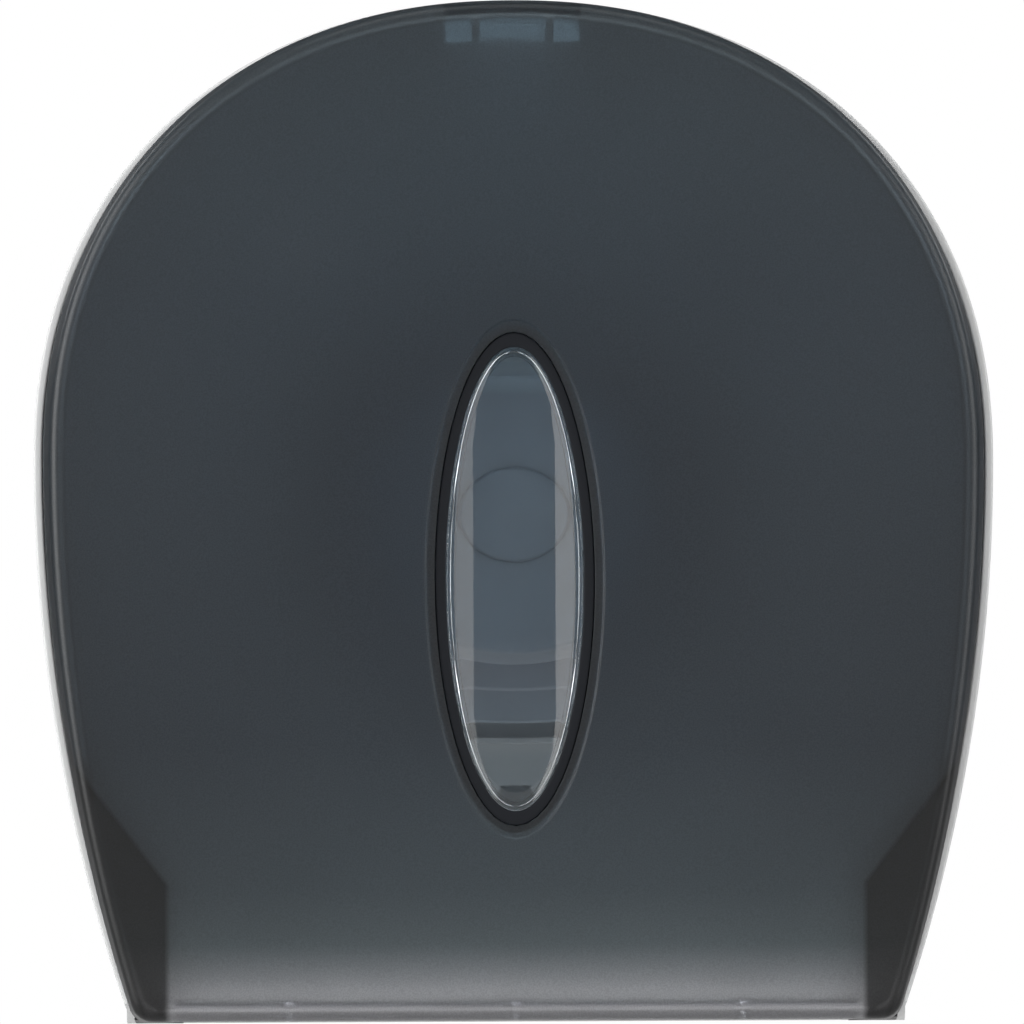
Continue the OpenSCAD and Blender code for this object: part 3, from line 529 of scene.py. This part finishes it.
def clear_plastic():
    """Clear plastic with a tint by height that holds painted light, and painted shade at the lens's rim."""
    s = Shader("clear_lens", IOR=1.49, Transmission_Weight=1.0)
    faint, haze = s.noise(0.03, 2), s.noise(0.5, 4)
    x, _, z = s.axes()
    # tint by height, which holds the painted light
    tint = s.by_height(z, LENS_LOW, LENS_HIGH, LENS_LIGHT_STOPS)
    # painted shade toward the lens's rim, by the squared share of the ellipse
    across = s.calc("POWER", s.calc("DIVIDE", s.calc("ABSOLUTE", x), LENS_A * MM), 2.0)
    height = s.calc("ABSOLUTE", s.calc("SUBTRACT", z, WINDOW_Z * MM))
    upward = s.calc("POWER", s.calc("DIVIDE", height, LENS_B * MM), 2.0)
    rim = s.remap(s.calc("ADD", across, upward), 1.0, LENS_RIM_SHADE, LENS_RIM_START, LENS_RIM_END)
    s.link(s.scaled(tint, s.calc("MULTIPLY", rim, s.remap(faint, 0.97, 1.03))), "Base Color")
    s.link(s.remap(haze, 0.0, 0.05), "Roughness")
    s.bump(faint, 0.02)
    return s.material


EVEN, BRUSHED_ALONG_X = (1, 1, 1), (0.05, 1, 1)
SMOKE = smoke()
LENS = clear_plastic()
PLATE = moulded("plate_grey", (0.50, 0.505, 0.50), 0.5)
LATCH = moulded("latch_grey", (0.82, 0.83, 0.83), 0.42)
HUB = moulded("hub_grey", (0.22, 0.255, 0.29), 0.45, spread=0.06)
BLACK = moulded("bezel_black", (0.006, 0.007, 0.009), 0.55, depth=0.004, Specular_IOR_Level=0.12)
BUSH = moulded("bush_black", (0.03, 0.03, 0.032), 0.38)
FELT = moulded("brake_felt", (0.05, 0.05, 0.055), 0.9, spread=0.2, grain=3.5, depth=0.08, Sheen_Weight=0.4)
STEEL = metal("steel", (0.60, 0.61, 0.63), 0.34, EVEN)
BLADE = metal("blade_steel", (0.64, 0.65, 0.67), 0.28, BRUSHED_ALONG_X)
SPRING = metal("spring_steel", (0.5, 0.51, 0.53), 0.25, EVEN)


def dress(obj, material, body, slot, *nodes):
    obj.data.materials.clear()
    obj.data.materials.append(material)
    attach(obj, body)
    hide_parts(*nodes)


def finish_node(node, material, round_mm):
    """Better material, and rounded edges by modifiers, on a node that stays."""
    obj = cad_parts[node]
    obj.data.materials.clear()
    obj.data.materials.append(material)
    if round_mm:
        weld = obj.modifiers.new("weld", "WELD")
        weld.merge_threshold = 1e-6
        add_bevel(obj, round_mm)
        obj.modifiers.new("normals", "WEIGHTED_NORMAL").keep_sharp = True


# ---------- cover ----------
SIDE_STEPS, EDGE_STEPS, FACE_STEPS = 10, 8, 26
RECESS_ROUND, OPENING_ROUND = 0.4, 0.25


def cover_rings(inset):
    """Rings of the cover's form, drawn in by inset, from the skirt's rear edge to the window."""
    face_edge = cover_outline(1, inset + EDGE_R)
    window_edge = toward(face_edge, RECESS_A + 1 - inset / 2, RECESS_B + 1 - inset / 2)
    rings = [(skirt_outline(inset), PLATE_D - SKIRT_D), (skirt_outline(inset), PART_Y - inset / 2)]
    start, end = PART_Y + inset / 2, EDGE_Y - inset
    for i in range(SIDE_STEPS):
        side = blend(cover_outline(0, inset), cover_outline(1, inset), i / SIDE_STEPS)
        rings.append((side, start + (end - start) * i / SIDE_STEPS))
    for sine, cosine in quarter(EDGE_STEPS):
        rings.append((cover_outline(1, inset + EDGE_R * (1 - cosine)), end + EDGE_R * sine))
    for i in range(1, FACE_STEPS + 1):
        s = 1 - i / FACE_STEPS
        rings.append((blend(window_edge, face_edge, s), BODY_D - inset - FACE_CROWN * s * s))
    return rings


def recess_rings():
    """Rings that step down from the face into the recess and through the opening."""
    width, floor = RECESS_A - OPEN_A, BODY_D - RECESS_D
    r, small = RECESS_ROUND, OPENING_ROUND
    profile = [(width + r * (1 - s), BODY_D - r + r * c) for s, c in quarter(4)]
    profile += [(width - r * (1 - c), floor + r * (1 - s)) for s, c in quarter(4)]
    profile += [(small * (1 - s), floor - small * (1 - c)) for s, c in quarter(3)]
    profile.append((0, INNER_FACE))
    bearing = cover_outline(1, EDGE_R)
    stretch = (RECESS_B - OPEN_B) / width
    return [(toward(bearing, OPEN_A + u, OPEN_B + u * stretch), d) for u, d in profile]


def gusset_walls():
    """The bent walls behind the cover's bottom corners."""
    x, z, half = EXIT_HALF, GUSSET_BEND_Z, GUSSET_T / 2
    top_x, top_z = x + GUSSET_RUN, z + GUSSET_RISE
    return mirrored(wall_prism("gusset", [
        (x, BOTTOM_Z), (x + GUSSET_T, BOTTOM_Z),
        (x + GUSSET_T, z - 2 - half), (x + GUSSET_T + 1, z + 1 - half),
        (top_x + GUSSET_T, top_z - half), (top_x, top_z + half),
        (x + 1.4, z + 2.4), (x, z - 2),
    ], BODY_D - GUSSET_D, BODY_D))


def bracket_pads():
    """The seats for the latch bracket's screws."""
    half = 8.0
    depth = (BRACKET_Y - half, BRACKET_Y + half)
    return mirrored(block("pads", (POST_X + 3, BRACKET_HALF), depth, (SEAT_Z, TOP_Z)))


def hinge_ears():
    """The cover's arms down to the hinge pins."""
    reach, tip_z = HINGE_Y + 12, HINGE_Z + KNUCKLE_R * 0.6
    arm = side_prism("ear", [
        (HINGE_Y, HINGE_Z - KNUCKLE_R), (HINGE_Y, HINGE_Z + KNUCKLE_R), (reach, tip_z),
        (reach, BOTTOM_Z + 2), (HINGE_Y + 6, BOTTOM_Z + 0.6)], EAR_X, EAR_END)
    knuckle = rod("knuckle", "x", KNUCKLE_R, EAR_X, EAR_END, (HINGE_Y, HINGE_Z))
    return mirrored(combine(arm, [knuckle], "UNION"))


def hinge_trim():
    """Takes away the shell's bottom edge where it would turn into the plate."""
    depth, rise = 5, 9
    return block("trim", (-BODY_W, BODY_W), (0, HINGE_Y + depth), (UNDER_Z, HINGE_Z + rise))


def cover_cuts():
    """The paper's way out, the latch's notch, and the bores for the pins and the bracket's screws."""
    exit_top = BOTTOM_Z + FOOT_DRAFT + 2 * COVER_WALL
    pin = (EAR_X - OVERCUT, EAR_END + OVERCUT, (HINGE_Y, HINGE_Z))
    screw = (SEAT_Z - OVERCUT, SEAT_Z + BRACKET_SCREW_DEPTH, (BRACKET_SCREW_X, BRACKET_Y))
    return [
        block("exit", (-EXIT_HALF, EXIT_HALF), (0, LIP_Y), (UNDER_Z, exit_top)),
        block("notch", (-NOTCH_HALF, NOTCH_HALF), (NOTCH_BACK, NOTCH_FRONT), (SEAT_Z - 4, TOP_Z + OVERCUT)),
        mirrored(rod("pin_bore", "x", PIN_R + RUN_GAP, *pin)),
        mirrored(rod("bracket_bore", "z", BRACKET_SCREW_R, *screw)),
    ]


def build_cover():
    rings = cover_rings(0) + recess_rings() + cover_rings(COVER_WALL)[::-1]
    shell = loft("cover_shell", rings, closed=True)
    inner = [gusset_walls(), bracket_pads()]
    for wall in inner:
        combine(wall, [loft("form", cover_rings(COVER_WALL / 2))], "INTERSECT")
    combine(shell, [hinge_trim()], "DIFFERENCE")
    combine(shell, inner + [hinge_ears()], "UNION")
    combine(shell, cover_cuts(), "DIFFERENCE", 28)
    dress(shell, SMOKE, "cover", "cover_smoke", "front_cover")


# ---------- window ----------
BEZEL_STEPS, LENS_STEPS, DOME_STEPS = 200, 220, 12
HOOKS = ((-52, 6), (-36.5, 7), (0, 15), (36.5, 7), (52, 6))  # height from the window's middle, and length
HOOK_RANGE = 70


def build_bezel():
    width, flange, extra, seam = OPEN_A - LENS_A, 1.8, 1.0, INNER_FACE - 0.02
    profile = rounded([
        (0.0, BEZEL_BACK, 0.2), (0.0, BEZEL_FRONT, 0.35), (width - WINDOW_GAP, BEZEL_FRONT, 0.35),
        (width - WINDOW_GAP, seam, 0), (width + flange, seam, 0.3), (width + flange, BEZEL_BACK, 0.3)])
    stretch = (OPEN_B - LENS_B) / width
    rings = []
    for u, d in profile:
        along = u * stretch if u < width else u + extra
        rings.append((ellipse(LENS_A + u, LENS_B + along, BEZEL_STEPS), d))
    ring = loft("window_ring", rings, closed=True, smooth=40)
    dress(ring, BLACK, "cover", "bezel_black", "window_bezel")


def lens_rings(a, b):
    """Rings of the lens: its domed face, rim, skirt and flat inner face."""
    rim_r, skirt_r, skirt_t, rim_w = 0.45, 0.2, 1.3, 2.2
    inner = LENS_FRONT - LENS_T * 0.6
    shares = [k / DOME_STEPS for k in range(1, DOME_STEPS)]
    rings = [(ellipse(a * s, b * s, LENS_STEPS), LENS_FRONT + LENS_CROWN * (1 - s * s)) for s in shares]
    profile = [(rim_r * (1 - s), LENS_FRONT - rim_r * (1 - c)) for s, c in quarter(4)]
    profile += [
        (0, SKIRT_BACK + skirt_r), (skirt_r, SKIRT_BACK),
        (skirt_t - skirt_r, SKIRT_BACK), (skirt_t, SKIRT_BACK + skirt_r),
        (skirt_t, LENS_FRONT - LENS_T), (rim_w, LENS_FRONT - LENS_T),
        (rim_w, inner - 0.1), (rim_w + 0.15, inner)]
    rings += [(ellipse(a - u, b - u, LENS_STEPS), d) for u, d in profile]
    a, b = a - rim_w, b - rim_w
    return rings + [(ellipse(a * s, b * s, LENS_STEPS), inner) for s in shares[-2::-1]]


def hook_gaps():
    """Blocks that part a full ring into the hooks."""
    edges = [WINDOW_Z - HOOK_RANGE]
    for z, length in HOOKS:
        edges += [WINDOW_Z + z - length / 2, WINDOW_Z + z + length / 2]
    edges.append(WINDOW_Z + HOOK_RANGE)
    half = RECESS_A + 3
    depth = (SKIRT_BACK - 2, BEZEL_BACK + 2)
    return [block("gap", (-half, half), depth, gap) for gap in zip(edges[::2], edges[1::2])]


def snap_hooks(a, b):
    """Hooks on the lens's skirt that catch behind the bezel."""
    root, tip, low, high = -0.65, 1.2, SKIRT_BACK + 0.2, BEZEL_BACK - 0.3
    profile = rounded([
        (root, low, 0), (tip, low, 0.15), (tip, high - 0.2, 0.1), (tip - 0.3, high, 0.1), (root, high, 0)])
    rings = [(ellipse(a + u, b + u, BEZEL_STEPS), d) for u, d in profile]
    return combine(loft("hooks", rings, closed=True, smooth=30), hook_gaps(), "DIFFERENCE")


def build_lens():
    a, b = LENS_A - WINDOW_GAP, LENS_B - WINDOW_GAP
    lens = loft("window_lens_dome", lens_rings(a, b), smooth=30)
    combine(lens, [snap_hooks(a, b)], "UNION", 30)
    dress(lens, LENS, "cover", "lens_clear", "window_lens")


# ---------- back plate ----------


def tray_profile():
    """(inset, distance from the wall) points, from the tray's back over its rim to its floor."""
    edge, rim, fillet = BACK_ROUND, RIM_ROUND, FLOOR_FILLET
    middle, near = 40, 10
    profile = [(inset, 0) for inset in (middle, near, edge)]
    profile += [(edge * (1 - s), edge * (1 - c)) for s, c in quarter(4, 1)]
    profile += [(0, d) for d in (8, 14, 20)]
    profile += [(rim * (1 - c), PLATE_D - rim + rim * s) for s, c in quarter(4)]
    profile += [(PLATE_WALL - rim * (1 - s), PLATE_D - rim * (1 - c)) for s, c in quarter(4)]
    profile += [(PLATE_WALL, d) for d in (20, 10, FLOOR_T + fillet)]
    profile += [(PLATE_WALL + fillet * (1 - c), FLOOR_T + fillet * (1 - s)) for s, c in quarter(4, 1)]
    return profile + [(inset, FLOOR_T) for inset in (near, middle)]


def straight_rib(x, z):
    return beveled(block("rib", x, (FLOOR_T - SINK, RIB_TOP), z), RIB_ROUND)


def plate_ribs():
    """A ring round the spindle, a long rib at each side and two across."""
    foot, inner, outer = FLOOR_T - SINK, RING_R - RIB_HALF, RING_R + RIB_HALF
    profile = rounded([
        (inner, foot, 0), (outer, foot, 0), (outer, RIB_TOP, RIB_ROUND), (inner, RIB_TOP, RIB_ROUND)])
    side, reach = SCREW_DX / 2, SCREW_DX / 2 + RIB_PAST_X
    side_x = (side - RIB_HALF, side + RIB_HALF)
    side_z = (BOTTOM_Z + PLATE_WALL / 2, SCREW_DZ / 2 + RIB_PAST_Z)
    ribs = [lathe("ring_rib", profile, smooth=40), mirrored(straight_rib(side_x, side_z))]
    for z in (-SCREW_DZ / 2, SCREW_DZ / 2):
        ribs.append(straight_rib((-reach, reach), (z - RIB_HALF, z + RIB_HALF)))
    return ribs


def boss(name, inner, outer, top, edge_r, n=160, at=(0, 0)):
    """A round boss on the plate's floor, with an opening of radius inner."""
    foot = FLOOR_T - SINK
    profile = rounded([(inner, foot, 0), (outer, foot, 0), (outer, top, edge_r), (inner, top, 0)])
    return lathe(name, profile, n, at, 40)


def wall_screws():
    return [(x * SCREW_DX / 2, z * SCREW_DZ / 2) for x in (-1, 1) for z in (-1, 1)]


def hinge_cheeks():
    """The plate's walls at both sides of each ear."""
    cheeks = []
    depth, height = (PLATE_D - 9, HINGE_Y), (BOTTOM_Z + 0.5, HINGE_Z + KNUCKLE_R)
    for start in (EAR_X - SIDE_GAP - CHEEK_T, EAR_END + SIDE_GAP):
        end = start + CHEEK_T
        cheek = block("cheek", (start, end), depth, height)
        knuckle = rod("cheek_round", "x", KNUCKLE_R, start, end, (HINGE_Y, HINGE_Z))
        cheeks.append(mirrored(combine(cheek, [knuckle], "UNION")))
    return cheeks


def floor_hole(r, top, at, n):
    return rod("hole", "d", r, -OVERCUT, top + OVERCUT, at, n)


def plate_holes():
    """Wall screws, the notches for the ears, pin bores, and the screws of the post and the keeper."""
    holes = [floor_hole(SCREW_HOLE_R, RIB_TOP, at, 40) for at in wall_screws()]
    ear, ear_z = (EAR_X - SIDE_GAP, EAR_END + SIDE_GAP), (BOTTOM_Z - OVERCUT, HINGE_Z + KNUCKLE_R + 1)
    holes.append(mirrored(block("ear_notch", ear, (PLATE_D - 8, PLATE_D + 5), ear_z)))
    pin = (EAR_X - 2 * CHEEK_T, EAR_END + 2 * CHEEK_T, (HINGE_Y, HINGE_Z))
    holes.append(mirrored(rod("pin_bore", "x", PIN_R, *pin)))
    for k in range(4):
        a = math.pi / 4 + math.pi / 2 * k
        at = (POST_SCREW_AT * math.sin(a), POST_SCREW_AT * math.cos(a))
        holes.append(floor_hole(POST_SCREW_R, SPINDLE_SEAT, at, 32))
    for x in (-KEEPER_SCREW_X, KEEPER_SCREW_X):
        holes.append(floor_hole(KEEPER_SCREW_R, FLOOR_T, (x, KEEPER_SCREW_Z), 32))
    return holes


def build_back_plate():
    plate = loft("plate_tray", [(plate_outline(inset), d) for inset, d in tray_profile()])
    combine(plate, plate_ribs(), "UNION")
    boss_cut = rod("boss_cut", "d", SPINDLE_BOSS_R, FLOOR_T, RIB_TOP + OVERCUT, (0, 0), 96)
    combine(plate, [boss_cut], "DIFFERENCE")
    bosses = [boss("spindle_boss", 4, SPINDLE_BOSS_R, SPINDLE_SEAT, 0.4)]
    bosses += [boss("screw_boss", 1, SCREW_BOSS_R, RIB_TOP, 0.5, 64, at) for at in wall_screws()]
    combine(plate, bosses + hinge_cheeks(), "UNION")
    combine(plate, plate_holes(), "DIFFERENCE", 32)
    dress(plate, PLATE, "back", "plate_grey", "back_plate")


# ---------- hub ----------


def drum_profile():
    """(radius, distance from the wall) points round the hub's tube, web, drum, rear flange and well."""
    inner, web = HUB_R - HUB_WALL, HUB_FRONT - WEB_T
    lead, well = HUB_FRONT - HUB_LEAD, SPINDLE_END - BUSH_FLANGE
    flange = HUB_BACK + HUB_FLANGE_T
    step = flange + HUB_STEP_T
    return rounded([
        (BUSH_R, TUBE_BACK, 0), (TUBE_R, TUBE_BACK, 0.8), (TUBE_R, web, 0.5), (NOSE_R - HUB_WALL, web, 0.8),
        (inner, lead - WEB_T / 2, 1.0), (inner, HUB_BACK, 0.3), (HUB_FLANGE_R, HUB_BACK, 0.8),
        (HUB_FLANGE_R, flange, 0.9), (HUB_STEP_R, flange, 0.4), (HUB_STEP_R, step, 0.9), (HUB_R, step, 0.4),
        (HUB_R, lead, 3.0), (NOSE_R + 0.3, HUB_FRONT, 1.6), (WELL_R, HUB_FRONT, 0.3), (WELL_R, well, 0),
        (BUSH_R, well, 0)], 5)


def hub_spokes():
    x, d = (TUBE_R - 0.5, HUB_R - HUB_WALL / 2), (HUB_BACK + 1, HUB_FRONT - HUB_LEAD - 2)
    spokes = []
    for k in range(SPOKES):
        spoke = block("spoke", x, d, (-SPOKE_HALF, SPOKE_HALF))
        spoke.data.transform(Matrix.Rotation(math.tau * (k + 0.5) / SPOKES, 4, "Y"))
        spokes.append(spoke)
    return spokes


def build_hub():
    hub = lathe("hub_drum", drum_profile(), 200, smooth=28)
    combine(hub, hub_spokes(), "UNION", 28)
    dress(hub, HUB, "hub", "hub_grey", "roll_hub")


def build_cap():
    outer, inner, back, top = WELL_R - RUN_GAP, WELL_R - RUN_GAP - 1.3, HUB_FRONT - 1.9, HUB_FRONT + CAP_T
    profile = [
        (0.02, top - 0.2), (inner, top - 0.2), (inner, back), (outer, back), (outer, HUB_FRONT),
        (CAP_R - 0.15, HUB_FRONT + 0.02), (CAP_R, HUB_FRONT + 0.2), (CAP_R, HUB_FRONT + CAP_T * 0.6)]
    profile += [((CAP_R - 0.35) * c + 0.02, top + CAP_CROWN * s) for s, c in quarter(12)]
    dress(lathe("hub_cap_dome", profile, 120, smooth=35), HUB, "hub", "hub_grey", "hub_cap")


build_cover()
build_bezel()
build_lens()
build_back_plate()
build_hub()
build_cap()

# material and edge radius of the nodes that stay
KEPT_NODES = (
    (LATCH, 0.35, ("latch_lever", "latch_bracket")),
    (STEEL, 0.3, ("spindle_post",)),
    (STEEL, 0.25, ("latch_keeper",)),
    (STEEL, 0.15, ("spindle_screw", "hinge_pin_left", "hinge_pin_right", "latch_pivot_pin")),
    (STEEL, 0.12, ("spindle_washer", "spindle_screws", "keeper_screws", "bracket_screws", "tear_bar_screws")),
    (BLADE, 0.1, ("tear_bar",)),
    (SPRING, 0.1, ("brake_spring",)),
    (SPRING, 0.0, ("latch_spring",)),
    (FELT, 0.2, ("brake_pad",)),
    (BUSH, 0.2, ("hub_bush_rear", "hub_bush_front")),
)
for material, radius, names in KEPT_NODES:
    for name in names:
        finish_node(name, material, radius)

# ---------- stage, light and camera ----------
FLOOR_DROP, FLOOR_HALF = 1100.0, 8000.0
FLOOR_GREY, FLOOR_GLOW = 0.82, 0.8
WHITE, FILL_TINT = (1, 1, 1), (0.93, 0.96, 1.08)
# the world's strength from the front and from behind, and the Y at which it has fallen to the latter
FILL_FRONT, FILL_BACK, FILL_TURN = 0.24, 0.04, 0.4


def floor_material():
    """White floor: it shows as the white background, and keeps part of the object's shadow."""
    material = bpy.data.materials.new("floor_white")
    material.use_nodes = True
    nodes = Nodes(material.node_tree)
    nodes.tree.nodes.clear()
    seen = nodes.seen_rays("Is Camera Ray", "Is Glossy Ray", "Is Transmission Ray")
    share = nodes.calc("MULTIPLY", seen, FLOOR_GLOW)
    diffuse = nodes.add("ShaderNodeBsdfDiffuse", Color=(FLOOR_GREY, FLOOR_GREY, FLOOR_GREY, 1))
    glow = nodes.add("ShaderNodeEmission", Color=(*WHITE, 1))
    mix = nodes.add("ShaderNodeMixShader", {"Fac": share, 1: diffuse.outputs[0], 2: glow.outputs[0]})
    nodes.add("ShaderNodeOutputMaterial", {"Surface": mix.outputs[0]})
    return material


def build_floor():
    sides = ((-1, -1), (1, -1), (1, 1), (-1, 1))
    corners = [(x * FLOOR_HALF, y * FLOOR_HALF, BOTTOM_Z - FLOOR_DROP) for x, y in sides]
    floor = to_object("floor", corners, [(0, 1, 2, 3)])
    floor.data.materials.append(floor_material())


def studio_world():
    """White to the camera and through clear plastic, and a soft fill from the front for everything else."""
    world = bpy.data.worlds.new("studio")
    bpy.context.scene.world = world
    world.use_nodes = True
    nodes = Nodes(world.node_tree)
    place = nodes.add("ShaderNodeTexCoord").outputs["Generated"]
    facing = nodes.add("ShaderNodeSeparateXYZ", {0: place}).outputs["Y"]
    fill = nodes.remap(facing, FILL_FRONT, FILL_BACK, -1.0, FILL_TURN)
    seen = nodes.seen_rays("Is Camera Ray", "Is Transmission Ray")
    level = nodes.add("ShaderNodeMix", {"Factor": seen, "A": fill}, B=1.0)
    back = nodes.tree.nodes["Background"]
    nodes.tree.links.new(level.outputs[0], back.inputs["Strength"])
    nodes.tree.links.new(nodes.ramp(seen, (0, FILL_TINT), (1, WHITE)), back.inputs["Color"])


WARM = (1.0, 0.97, 0.94)
FRONT_SIZE_M, SIDE_SIZE_M, BACK_SIZE_M = (0.22, 1.7), (1.2, 1.6), (0.9, 0.9)
# name, place and aim in metres, width and height, watts, colour
PANELS = (
    ("left_panel", (-0.43, -1.72, 0.1), (0, -0.1, 0), FRONT_SIZE_M, 2.8, WARM),
    ("right_panel", (0.43, -1.72, 0.1), (0, -0.1, 0), FRONT_SIZE_M, 3.8, WARM),
    ("left_side", (-1.6, -1.0, 0.3), (0, -0.05, 0), SIDE_SIZE_M, 52, WHITE),
    ("right_side", (1.6, -1.0, 0.3), (0, -0.05, 0), SIDE_SIZE_M, 29, WHITE),
    ("top_panel", (0, -0.35, 1.4), (0, -0.05, 0), (1.4, 1.0), 8, WHITE),
    ("left_back", (-1.3, 1.0, 0.8), (0, 0, 0), BACK_SIZE_M, 6, WHITE),
    ("right_back", (1.3, 1.0, 0.8), (0, 0, 0), BACK_SIZE_M, 6, WHITE),
    ("low_panel", (0, -0.15, -0.70), (0, -0.08, 0), (1.3, 1.2), 0.7, WHITE),
)


def panel(name, at_m, aim_m, size_m, watts, colour):
    light = bpy.data.lights.new(name, "AREA")
    light.shape, light.size, light.size_y = "RECTANGLE", size_m[0], size_m[1]
    light.energy, light.color = watts, colour
    obj = bpy.data.objects.new(name, light)
    obj.location = at_m
    obj.rotation_euler = (Vector(aim_m) - Vector(at_m)).to_track_quat("-Z", "Y").to_euler()
    obj.visible_camera = False
    bpy.context.scene.collection.objects.link(obj)


# the photo's camera: focal length and picture in pixels, place, and turns in radians
FOCAL_PX, FRAME_PX, SENSOR = 6090.0, 1024.0, 36.0
CAMERA_X, CAMERA_D = -3.3, BODY_D + 1600
YAW, PITCH, ROLL = 0.00165, -0.00016, -0.0045


def place_camera():
    data = bpy.data.cameras.new("camera")
    data.sensor_width = SENSOR
    data.lens = FOCAL_PX / FRAME_PX * SENSOR
    data.clip_start, data.clip_end = 0.05, 50
    camera = bpy.data.objects.new("camera", data)
    bpy.context.scene.collection.objects.link(camera)
    camera.location = (CAMERA_X * MM, -CAMERA_D * MM, AXIS_DROP * MM)
    yaw, roll = Matrix.Rotation(-YAW, 3, "Z"), Matrix.Rotation(ROLL, 3, "Z")
    camera.rotation_euler = (yaw @ Matrix.Rotation(math.pi / 2 + PITCH, 3, "X") @ roll).to_euler()
    bpy.context.scene.camera = camera
    bpy.context.scene.view_settings.view_transform = "Standard"


build_floor()
studio_world()
for settings in PANELS:
    panel(*settings)
place_camera()
